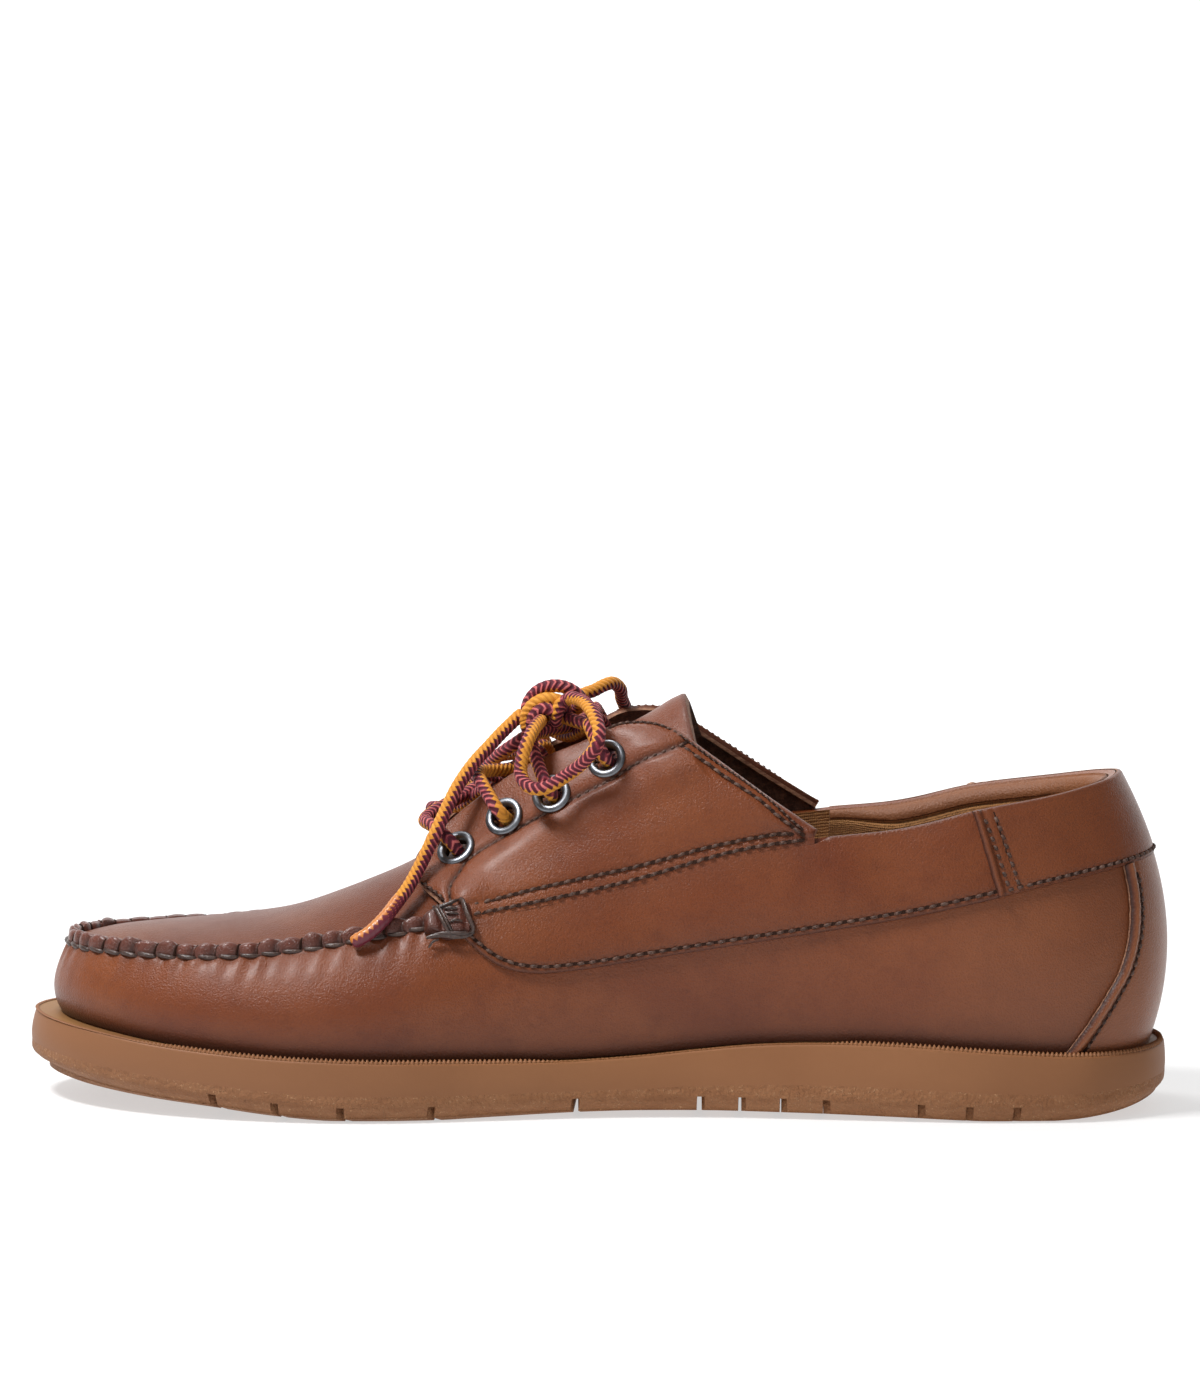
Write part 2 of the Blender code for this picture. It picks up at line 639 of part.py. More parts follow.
def instep(u, w, lift=0.0):
    """Facing's own surface, from its seam on the wall (w 0) to its free edge (w 1)."""
    def point(u, w):
        base = wall(u, 1.0)
        edge, side = facing_edge(u)
        look = np.array(EDGE_NORMAL) * np.stack((np.ones_like(side), side, np.ones_like(side)), -1)
        look = unit(look)
        edge = edge - look * (GAP + FACING)
        step = 1e-4
        up = wall(u, 1.0) - wall(u, 1.0 - step)
        way = wall(u + step, 1.0) - wall(u - step, 1.0)
        out = unit(np.cross(up, way))
        chord = edge - base
        leave = chord - out * np.sum(chord * out, axis=-1, keepdims=True)
        arrive = chord - look * np.sum(chord * look, axis=-1, keepdims=True)
        length = np.linalg.norm(chord, axis=-1, keepdims=True)
        leave = unit(leave) * length
        arrive = unit(arrive) * length
        f = w[..., None]
        return ((2 * f**3 - 3 * f**2 + 1) * base + (f**3 - 2 * f**2 + f) * leave
                + (3 * f**2 - 2 * f**3) * edge + (f**3 - f**2) * arrive)
    u, w = np.broadcast_arrays(np.asarray(u, dtype=float), np.asarray(w, dtype=float))
    place = point(u, w)
    step = 1e-3
    normal = unit(np.cross(point(u, w + step) - point(u, w - step),
                           point(u + step, w) - point(u - step, w)))
    lift = np.broadcast_to(lift, u.shape)[..., None]
    return place + normal * lift


def underlap(u):
    """How far the wall carries on under the facing, for each column."""
    x = wall(u, 1.0)[..., 0]
    return UNDERLAP * ramp(x, 0.0975, 0.112) * (1 - ramp(x, 0.174, 0.186))


def make_wall():
    """Vamp, quarters and back as one wall, open at the top and underneath."""
    u = around(COLUMNS)
    rise = np.linspace(0.0, 1.0, WALL_ROWS)
    uu, vv = np.meshgrid(u, rise, indexing="ij")
    outer = wall(uu, vv)
    inner = wall(uu, vv, -WALL)
    extra = underlap(u)
    x = wall(u, 1.0)[..., 0]
    laced = (x > facing["low_x"][-1]) & (x < facing["low_x"][0])
    length = np.ones_like(u)
    length[laced] = np.linalg.norm(facing_edge(u[laced])[0] - wall(u[laced], 1.0), axis=-1)
    caps = []
    for lift, grid in ((0.0, outer), (-WALL, inner)):
        cap = grid[:, -1] + (grid[:, -1] - grid[:, -2]) * 0.002
        share = extra[laced] / length[laced]
        cap[laced] = instep(u[laced], share, lift)
        caps.append(cap[:, None])
    outer = np.concatenate((outer, caps[0]), axis=1)
    inner = np.concatenate((inner, caps[1]), axis=1)
    return sheet("upper", outer, inner, LEATHER, closed=True)


def plug_surface(u, q, lift=0.0):
    """Plug between its two seams: q runs across, from 1 at the medial seam to -1."""
    u, q = np.broadcast_arrays(np.asarray(u, dtype=float), np.asarray(q, dtype=float))

    def point(u, q):
        medial = wall(u, 1.0, -WALL * 0.5)
        lateral = wall(1.0 - u, 1.0, -WALL * 0.5)
        share = ((1 + q) / 2)[..., None]
        place = lateral + (medial - lateral) * share
        bottom = np.minimum(medial[..., 2], lateral[..., 2])
        height = np.maximum(through(crown["x"], crown["z"], place[..., 0]) - bottom, 0.0)
        place[..., 2] += height * (1 - np.abs(q)**2.1)
        return place
    place = point(u, q)
    place[..., 2] += lift
    return place


def make_plug():
    """Plug of the vamp, crowned between the seams, as a sheet that sinks into the wall's top."""
    u = wall_columns(place_of_x(PLUG_BACK_X * MM, 1), 0.5)
    q = np.sin(np.linspace(-math.pi / 2, math.pi / 2, 9))
    uu, qq = np.meshgrid(u, q, indexing="ij")
    return sheet("plug", plug_surface(uu, qq), plug_surface(uu, qq, -WALL), LEATHER,
                 group=cutters)


def make_ridge():
    """Raised seam between vamp and plug, from tack to tack round the toe."""
    start = place_of_x(SEAM_BACK_X * MM, 1)
    u = wall_columns(start, 1.0 - start)
    line = wall(u, 1.0, -WALL * 0.55)
    way = unit(np.gradient(line, axis=0))
    up = np.array((0.0, 0.0, 1.0))
    across = unit(np.cross(way, up))
    lean = unit(np.cross(across, way))
    taper = 0.4 + 0.6 * ramp(np.minimum(u - start, 1.0 - start - u), 0.0, 0.02)
    rings = []
    half = RIDGE_WIDTH / 2
    for turn in np.radians((0, 50, 90, 130, 180, 245, 295)):
        side = half * math.cos(turn)
        height = (RIDGE_HEIGHT if math.sin(turn) > 0 else 0.0014) * math.sin(turn)
        rings.append(line + across * side + lean * (height * taper)[:, None])
    return stack("ridge", np.stack(rings, axis=1), LEATHER, closed_section=True, group=cutters)


def make_upper():
    """Upper: one hollow solid of wall, plug and raised seam."""
    made = make_wall()
    boolean(made, make_plug(), "UNION")
    boolean(made, make_ridge(), "UNION")
    return made


# ---------------------------------------------------------------- overlays

def overlay(name, uu, vv, thick=OVERLAY):
    """Leather laid on the wall, on a grid of places uu and levels vv."""
    return sheet(name, wall(uu, vv, GAP + thick), wall(uu, vv, GAP), LEATHER)


def band_low(x):
    """Height of the lower edge of band and heel collar."""
    return through(band["x"], band["z"], x)


def level_of_edge(u, height_of_x):
    """Level on the wall of an edge given as height over x, for each place u."""
    v = np.full_like(u, 0.6)
    for _ in range(6):
        v = level(u, height_of_x(wall(u, v)[..., 0]))
    return v


def front_place(x, z, side):
    """Place u where the wall's outside is at x and z, near the heel, on one side."""
    u = np.linspace(0.004, 0.30, 1200)
    u = u if side > 0 else 1.0 - u
    v = np.clip(level(u, z), 0.0, 1.0)
    gap = np.abs(wall(u, v)[..., 0] - x)
    return u[int(np.argmin(gap))]


def slanted_edge(points, rows):
    """Places u on both sides, at equal heights, of an edge given by points of x and z."""
    points = np.array(points) * MM
    z = np.linspace(points[0, 1], points[-1, 1], rows)
    x = through(points[:, 1], points[:, 0], z)
    return [np.array([front_place(a, b, side) for a, b in zip(x, z)]) for side in (1, -1)]


OVERLAY_ROWS = 5
collar_front = slanted_edge(COLLAR_FRONT, OVERLAY_ROWS)


def make_bands():
    """Quarter bands: below the facing, up to the collar behind it, back to the heel collar."""
    for side, name in ((1, "medial"), (-1, "lateral")):
        back = collar_front[0] + 0.0006 if side > 0 else 1.0 - collar_front[1] + 0.0006
        front = place_of_x(0.1862, 1) if side > 0 else 1.0 - place_of_x(0.1862, -1)
        corners = [place_of_x(x, side) for x in (STEP_BACK, STEP_FRONT)]
        corners = np.array(corners) if side > 0 else 1.0 - np.array(corners)
        u = wall_columns(back[-1], front)
        u = u[np.min(np.abs(u[:, None] - corners), axis=1) > 0.004]
        u = np.sort(np.concatenate((u, corners)))
        share = (u - u[0]) / (u[-1] - u[0])
        uu = back[None, :] + (front - back)[None, :] * share[:, None]
        uu = uu if side > 0 else 1.0 - uu
        low = level_of_edge(uu[:, 0], band_low)
        height = wall(uu[:, -1], 1.0)[..., 2] - wall(uu[:, -1], 0.0)[..., 2]
        x = wall(uu[:, -1], 1.0)[..., 0]
        high = 1.0 - (FACING_LAP + 2 * GAP) * ramp(x, STEP_BACK, STEP_FRONT) / height
        low = np.minimum(low, high - 0.04)
        rise = np.linspace(0.0, 1.0, OVERLAY_ROWS)
        overlay("quarter_band_" + name, uu, low[:, None] + (high - low)[:, None] * rise)


def make_heel_collar():
    """Heel collar: over the back of the heel from side to side, up to the collar line."""
    start, end = collar_front[1] - 1.0, collar_front[0]
    share = np.linspace(0.0, 1.0, 19)[:, None]
    uu = start + (end - start) * share
    low = level_of_edge(uu[:, 0], band_low) + 0.006
    rise = np.linspace(0.0, 1.0, OVERLAY_ROWS)
    overlay("heel_collar", uu, low[:, None] + (1.0 - low)[:, None] * rise)


def make_counter():
    """Heel counter: under the heel collar, down to the sole, with a front edge that sweeps in."""
    medial, lateral = slanted_edge(COUNTER_FRONT, OVERLAY_ROWS)
    share = np.linspace(0.0, 1.0, 17)[:, None]
    uu = lateral - 1.0 + (medial - lateral + 1.0) * share
    high = level_of_edge(uu[:, -1], band_low) - 0.004
    low = 0.004
    rise = np.linspace(0.0, 1.0, OVERLAY_ROWS)
    overlay("heel_counter", uu, low + (high - low)[:, None] * rise, OVERLAY * 0.8)


# ---------------------------------------------------------------- facings and eyelets

def facing_grid(side, count, rows):
    """Places u along the facing's seam and shares w up to its free edge."""
    ends = [place_of_x(facing["low_x"][k], side) for k in (0, -1)]
    u = np.linspace(ends[0], ends[1], count)
    return np.meshgrid(u, np.linspace(0.0, 1.0, rows), indexing="ij")


def facing_layer(uu, ww, low_lift, lift):
    """One face of the facing, with its lap below the seam, at heights over the wall."""
    upper_part = instep(uu, ww, low_lift + (lift - low_lift) * ramp(ww, 0.0, 0.3))
    u = uu[:, 0]
    height = wall(u, 1.0)[..., 2] - wall(u, 0.0)[..., 2]
    lap = wall(u, 1.0 - FACING_LAP / height, low_lift)
    return np.concatenate((lap[:, None], upper_part), axis=1)


def eyelet_frames(side):
    """Place and outward direction of each eyelet on the outside of one facing."""
    uu, ww = facing_grid(side, 160, 60)
    face = instep(uu, ww, GAP + FACING)
    under = instep(uu, ww, GAP)
    found = []
    for x, z in EYELETS:
        away = np.hypot(face[..., 0] - x * MM, face[..., 2] - z * MM)
        spot = np.unravel_index(int(np.argmin(away)), away.shape)
        found.append((face[spot], unit(face[spot] - under[spot])))
    return found


def make_facings():
    """Lace facings: laid on the quarters along their seam and free over the tongue."""
    for side, name in ((1, "medial"), (-1, "lateral")):
        uu, ww = facing_grid(side, 24, 6)
        made = sheet("facing_" + name, facing_layer(uu, ww, GAP + OVERLAY, GAP + FACING),
                     facing_layer(uu, ww, GAP, GAP), LEATHER)
        for number, (place, way) in enumerate(eyelet_frames(side)):
            turn = Vector(way).to_track_quat("Z", "Y")
            bpy.ops.mesh.primitive_cylinder_add(
                vertices=EYELET_SIDES, radius=EYELET_HOLE, depth=0.02,
                location=tidy(place), rotation=turn.to_euler())
            cutter = bpy.context.object
            cutter.name = "hole_%s_%d" % (name, number + 1)
            for group in list(cutter.users_collection):
                group.objects.unlink(cutter)
            cutters.objects.link(cutter)
            boolean(made, cutter, "DIFFERENCE")


def make_eyelets():
    """Eyelets: a rolled flange on the leather and a barrel down its hole."""
    profile = np.array(EYELET_PROFILE) * MM
    angles = np.arange(EYELET_SIDES) * 2 * math.pi / EYELET_SIDES
    for side, name in ((1, "medial"), (-1, "lateral")):
        for number, (place, way) in enumerate(eyelet_frames(side)):
            right = unit(np.cross(way, np.array((0.0, 0.0, 1.0))))
            ahead = np.cross(way, right)
            rim = (right[None] * np.cos(angles)[:, None] + ahead[None] * np.sin(angles)[:, None])
            rings = [place + rim * out + way * up for out, up in profile]
            rings.append(rings[0])
            stack("eyelet_%s_%d" % (name, number + 1), rings, METAL)


# ---------------------------------------------------------------- laces

def passage(side, number):
    """Way of the lace through one eyelet, from the throat and back to it."""
    place, way = eyelet_frames(side)[number]
    uu, ww = facing_grid(side, 80, 2)
    rim = instep(uu, ww, GAP + FACING)[:, -1]
    near = rim[int(np.argmin(np.linalg.norm(rim - place, axis=-1)))]
    ahead = near - place
    ahead = ahead - way * np.dot(ahead, way)
    reach = np.linalg.norm(ahead)
    ahead = ahead / reach
    steps = columns(PASSAGE_COLUMNS, PASSAGE)
    along = steps["ahead"] + steps["share"] / MM * reach
    return place + ahead * along[:, None] + way * steps["height"][:, None]


def lace_route(first_side):
    """Route of one half of the lace, from its lowest eyelet, side to side, to the knot."""
    side = first_side
    route = [passage(side, 0)[HOLE_ROWS]]
    for number in range(1, len(EYELETS)):
        side = -side
        there = passage(side, number)
        middle = (route[-1][-1] + there[0]) / 2
        middle[2] += CROSSING_RISE * first_side
        route.append(middle[None])
        route.append(there)
    route[-1] = route[-1][:-1]
    route.append(np.array(TIES[0 if side > 0 else 1]) * MM)
    return np.concatenate(route)


def make_lace_crossings():
    """Laces in the eyelets: two halves that cross in the throat, joined where they cross."""
    halves = []
    for side, group in ((1, shoe), (-1, cutters)):
        name = "lace_crossings" if side > 0 else "lace_half"
        halves.append(as_mesh(tube(name, lace_route(side), 1, group)))
    boolean(halves[0], halves[1], "UNION")


def make_lace_knot():
    """Knot over the throat, as one plain lump."""
    middle, half = np.array(KNOT) * MM
    bpy.ops.mesh.primitive_uv_sphere_add(segments=14, ring_count=8, radius=1.0)
    ball = bpy.context.object
    points = np.array([v.co[:] for v in ball.data.vertices]) * half + middle
    faces = [tuple(face.vertices) for face in ball.data.polygons]
    bpy.data.objects.remove(ball, do_unlink=True)
    return add_mesh("lace_knot", points, faces, CORD)


def make_lace_ends():
    """Loops of the bow and the two free ends."""
    for name, points in LACE_ROUTES.items():
        tube(name, np.array(points) * MM)


# ---------------------------------------------------------------- tongue and collar

def make_tongue():
    """Tongue: an arched sheet from under the plug up to above the facings."""
    rows = columns(TONGUE_COLUMNS, TONGUE_ROWS)
    x = np.linspace(TONGUE_ROWS[0][0], TONGUE_ROWS[-1][0], 11) * MM
    order = slice(None, None, -1)
    middle, half, drop = (through(rows["x"][order], rows[key][order], x)
                          for key in ("z", "half", "drop"))
    slope = np.gradient(middle, x)
    tilt = unit(np.stack((-slope, np.zeros_like(slope), np.ones_like(slope)), axis=-1))
    q = np.linspace(-1.0, 1.0, 9)
    centre = np.stack((x, np.zeros_like(x), middle), axis=-1)
    outer = np.repeat(centre[:, None], len(q), axis=1)
    outer[..., 1] += half[:, None] * q
    outer[..., 2] -= drop[:, None] * np.abs(q)**1.9
    outer[..., 0] -= TONGUE_SWEEP * ramp(x, 0.150, 0.130)[:, None] * q**2
    normal = np.repeat(tilt[:, None], len(q), axis=1)
    normal[..., 1] += (drop / half)[:, None] * 1.9 * np.sign(q) * np.abs(q)**0.9
    inner = outer - unit(normal) * TONGUE
    return sheet("tongue", outer, inner, LEATHER)


def make_collar_padding():
    """Padded roll inside the collar, from notch to notch round the heel."""
    end = place_of_x(0.0905, 1)
    u = wall_columns(-end, end)
    height = wall(u, 1.0)[..., 2] - wall(u, 0.0)[..., 2]
    taper = 0.35 + 0.65 * ramp(end - np.abs(u), 0.0, 0.03)
    rings = []
    for inward, below in np.array(PAD_SECTION) * MM:
        inward = 0.0024 + (inward - 0.0024) * taper
        rings.append(wall(u, 1.0 - below * (0.4 + 0.6 * taper) / height, -inward))
    return stack("collar_padding", np.stack(rings, axis=1), LEATHER, closed_section=True)


make_outsole()
make_insole()
make_upper()
make_bands()
make_heel_collar()
make_counter()
make_facings()
make_eyelets()
make_lace_crossings()
make_lace_knot()
make_lace_ends()
make_tongue()
make_collar_padding()
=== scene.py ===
"""Blucher moccasin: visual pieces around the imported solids.

The shoe stands on its sole with +X to the toe, +Y to the inner (medial) side and +Z up.
Tables are in millimetres, measured along X from the back of the sole.  Functions return metres.
Places on the upper: u runs round the shoe (0 heel, 0.25 inner side, 0.5 toe, 1 heel again), v runs
up its wall, w runs up a lace facing from its seam to its free edge, and q runs across the plug.
"""
import functools
import math

import bmesh
import bpy
import numpy as np
from mathutils import Matrix


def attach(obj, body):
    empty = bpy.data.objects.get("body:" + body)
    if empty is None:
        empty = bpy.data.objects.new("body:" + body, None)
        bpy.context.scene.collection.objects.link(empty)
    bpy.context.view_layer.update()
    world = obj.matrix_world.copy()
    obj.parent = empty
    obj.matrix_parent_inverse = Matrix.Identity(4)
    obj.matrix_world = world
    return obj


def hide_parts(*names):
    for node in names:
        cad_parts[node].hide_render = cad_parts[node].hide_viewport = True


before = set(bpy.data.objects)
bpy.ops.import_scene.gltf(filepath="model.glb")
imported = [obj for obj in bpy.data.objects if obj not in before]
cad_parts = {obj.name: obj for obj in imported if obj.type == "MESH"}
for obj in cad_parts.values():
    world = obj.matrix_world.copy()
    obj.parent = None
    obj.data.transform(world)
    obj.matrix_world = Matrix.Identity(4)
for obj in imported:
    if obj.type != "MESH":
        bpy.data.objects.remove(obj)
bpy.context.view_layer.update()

bl_info = {
    "name": "Blucher Moccasin",
    "version": (1, 0, 0),
    "blender": (4, 5, 0),
    "location": "View3D > Sidebar > Moccasin",
    "description": "Makes the leather, seams, laces and sole of a blucher moccasin",
    "category": "Object",
}

MM = 0.001
UP = np.array((0.0, 0.0, 1.0))
SIDES = ((1, "medial"), (-1, "lateral"))


def columns(names, *rows):
    """A table as one array of metres for each named column."""
    return dict(zip(names.split(), np.array(rows, dtype=float).T * MM))


ORIGIN_X = 0.1514  # from the back of the heel to the origin
GAP = 0.0003  # between neighbouring pieces
WALL = 0.0020  # leather of the vamp, quarters and plug
OVERLAY = 0.0012  # leather of the bands sewn on the wall
FACING = 0.0021  # lace facing, two plies
INSOLE = 0.0032  # sock on the sole
INSOLE_SIDE = (  # its rounded side, bottom to top: inwards and up
    (0.0006, 0.0), (0.0, 0.0004), (0.0, 0.0018), (0.0002, 0.0026), (0.0007, 0.0031),
    (0.0016, 0.0032))
TONGUE = 0.0026  # tongue and its lining
TONGUE_SWEEP = 0.0035  # corners of the tongue's top, behind its middle
LACE = 0.0036  # round lace, across
FACING_LAP = 0.0016  # facing below its lower row of stitches
BAND_FRONT = 0.1862  # front end of the quarter band
COLLAR_END = 0.0905  # front ends of the padded collar
STEP_BACK = 0.0900  # behind the facing the quarter band rises to the collar,
STEP_FRONT = 0.0945  # from here
RIDGE_WIDTH = 0.0031  # raised seam round the plug
RIDGE_HEIGHT = 0.0037

# One row for each section of the last, from the back of the heel to the toe.
# x, medial, lateral: outline of the sole.  ledge: from the outline in to the upper.
# low_*, high_*: how far the wall swells outwards at a third and two thirds of its height.
# top_*: upper edge of the wall, which is the collar behind, then the foot of the lace
# facing, then the raised seam round the plug.
section = columns(
    "x medial lateral ledge low_m low_l high_m high_l top_x top_m top_l top_z",
    (0.7, 0.0, 0.0, 5.4, 8.5, 8.5, 13.3, 13.3, 15.2, 0.0, 0.0, 89.0),
    (6.0, 18.5, -18.5, 4.8, 7.5, 7.5, 10.5, 10.5, 19.6, 12.5, -12.5, 87.8),
    (19.0, 29.3, -29.3, 4.6, 6.0, 6.0, 7.0, 7.0, 31.0, 21.8, -21.8, 85.3),
    (42.0, 34.6, -34.8, 4.3, 4.8, 4.8, 5.5, 5.5, 50.0, 28.2, -28.4, 82.0),
    (80.0, 35.2, -37.2, 4.0, 5.0, 4.5, 5.0, 5.0, 76.0, 30.4, -31.2, 76.0),
    (98.0, 34.4, -38.6, 3.9, 5.2, 4.0, 5.0, 5.0, 93.5, 31.6, -32.2, 74.1),
    (118.0, 33.6, -40.6, 3.8, 5.5, 3.5, 4.8, 5.0, 112.0, 32.2, -33.0, 71.2),
    (150.0, 36.6, -45.0, 3.7, 5.5, 3.0, 4.5, 4.5, 143.0, 33.0, -34.3, 62.2),
    (180.0, 44.2, -50.4, 4.0, 4.5, 3.0, 5.5, 6.0, 172.0, 35.4, -36.6, 55.5),
    (208.0, 51.0, -52.0, 4.4, 3.8, 3.5, 9.0, 9.5, 199.0, 37.6, -38.2, 49.9),
    (235.0, 51.4, -49.0, 4.6, 3.8, 3.8, 9.5, 9.0, 228.0, 38.2, -37.0, 44.5),
    (258.0, 47.2, -42.2, 5.2, 4.0, 4.0, 7.0, 7.0, 252.0, 37.8, -33.5, 42.2),
    (277.0, 39.2, -32.8, 6.0, 4.3, 4.3, 4.5, 4.5, 271.5, 32.6, -26.0, 41.9),
    (291.0, 28.6, -21.6, 6.8, 4.5, 4.5, 3.6, 3.6, 284.0, 23.6, -16.2, 41.7),
    (299.2, 16.4, -9.6, 7.4, 4.5, 4.5, 3.4, 3.4, 290.2, 13.0, -5.4, 41.5),
    (302.2, 3.5, 3.5, 8.0, 4.5, 4.5, 3.3, 3.3, 292.0, 3.8, 3.8, 41.4))

# Sole along its length: top edge on each side, and the tread.
sole = columns(
    "x rim_m rim_l tread",
    (0.0, 17.9, 17.9, 4.9), (12.0, 17.4, 17.4, 1.9), (30.0, 17.6, 17.4, 0.0),
    (48.0, 18.6, 17.6, 0.0), (70.0, 19.9, 17.8, 0.7), (90.0, 20.2, 17.6, 1.2),
    (108.0, 19.5, 17.2, 1.4), (124.0, 17.9, 16.6, 1.5), (140.0, 16.2, 15.8, 1.4),
    (156.0, 15.2, 15.3, 1.1), (176.0, 15.2, 15.2, 0.5), (190.0, 15.5, 15.4, 0.0),
    (220.0, 16.1, 16.1, 0.0), (236.0, 16.7, 16.7, 1.2), (250.0, 17.6, 17.6, 2.7),
    (266.0, 18.9, 18.9, 3.9), (282.0, 20.7, 20.7, 5.3), (302.0, 22.7, 22.7, 7.6))

# Side of the sole, top to bottom: in from the outline at the side and at the toe,
# and height from the tread (0) to the top edge (1).
sole_side = columns(
    "inset toe_inset height",
    (0.4, 1.2, 1.00), (0.15, 0.5, 0.84), (0.0, 0.0, 0.42), (0.5, 0.9, 0.17), (2.2, 4.6, 0.03))

SIDE_TOP = (1.0, 0.994, 0.985, 0.97, 0.94)  # heights of its closer points
SIDE_FOOT = (0.06, 0.03, 0.01, 0.0)
TOP_SHARES = (0.0, 0.5, 0.85, 0.97)  # points across the top face and the tread
TREAD_SHARES = (0.985, 0.90, 0.6, 0.3, 0.0)

# Grooves across the tread: places, half width and height of the roof.
GROOVES = (40.5, 53.0, 65.6, 90.4, 101.7, 112.5, 123.2, 155.7, 192.7, 216.3, 233.5, 249.9)
GROOVE_HALF = 0.00095
GROOVE_ROOF = 0.0043

# Middle line of the plug, front to back.
crown = columns(
    "x z",
    (170.0, 84.0), (180.0, 77.0), (190.0, 69.6), (201.0, 62.6), (212.5, 57.2), (220.0, 54.2),
    (234.0, 49.4), (252.0, 46.6), (269.0, 45.2), (280.0, 43.9), (292.0, 41.4))
PLUG_BACK_X = 179.0  # where the plug ends, under the facings
SEAM_BACK_X = 194.5  # where the raised seam ends, at the tack

# Lace facing: x on its lower seam, and the point of its free edge that the section reaches.
facing = columns(
    "low_x edge_x edge_y edge_z",
    (188.5, 193.0, 35.5, 57.0), (184.0, 197.6, 28.5, 60.0), (178.0, 199.9, 22.5, 64.6),
    (171.0, 197.6, 17.5, 69.0), (163.0, 190.0, 15.0, 76.2), (152.0, 180.5, 15.5, 84.0),
    (140.0, 170.0, 16.3, 91.0), (128.0, 156.0, 17.5, 97.3), (116.0, 145.0, 18.5, 102.6),
    (108.0, 135.5, 20.6, 101.6), (101.0, 124.0, 24.4, 94.2), (96.5, 106.5, 29.8, 82.4),
    (94.4, 95.6, 32.4, 75.6))
EDGE_NORMAL = (0.36, 0.72, 0.60)  # way the facing looks at its free edge, medial side

EYELETS = (
    (188.0, 68.9), (175.6, 77.0), (163.3, 83.4), (149.1, 93.1),
)
EYELET_SIDES = 64
# Half section of an eyelet in mm, as distance from its axis and height: the rolled flange's
# middle and half sizes, its inner foot, and the barrel down through the leather and back.
FLANGE = ((4.20, 0.62), (1.08, 0.62))
FLANGE_FOOT = (4.4, -0.1)
BARREL = ((3.18, -0.4), (3.16, -1.6), (3.35, -2.5), (3.62, -2.6), (3.55, -1.2))
HOLE_RING = (0.0026, 0.0044)  # points of the facing this far from a hole's middle are moved,
HOLE_EDGE = 0.0035  # the nearest of them to here
HOLE_KEEP = 0.0039  # and faces within this are left out

# Way of the lace through one eyelet, from the throat under the facing, up the hole and back
# over the facing's edge: towards the edge in mm, the same as a share of the way from the eyelet
# to the edge, and height over the facing.
passage_steps = columns(
    "ahead share height",
    (2.5, 1.0, -6.2), (-1.0, 1.0, -5.8), (1.6, 0.3, -5.7), (0.5, 0.0, -4.5), (0.0, 0.0, -2.2),
    (0.0, 0.0, 0.6), (0.6, 0.0, 2.6), (2.4, 0.0, 3.8), (0.5, 0.5, 3.9), (0.0, 1.0, 3.6),
    (3.0, 1.0, 2.4))
HOLE_ROWS = slice(4, None)  # rows of the way that starts in the hole
CROSSING_RISE = 0.0016  # strand over its partner at a crossing
TIES = (  # from the top eyelets up to the knot, medial and lateral
    ((153.6, 14.0, 100.8), (157.4, 10.6, 101.4), (160.4, 7.6, 102.0)),
    ((153.6, -13.6, 100.6), (157.4, -7.8, 101.2), (160.4, -1.6, 101.8)),
)

# Knot: its middle and its half sizes.
KNOT = ((165.6, 4.0, 105.0), (4.6, 5.2, 5.6))

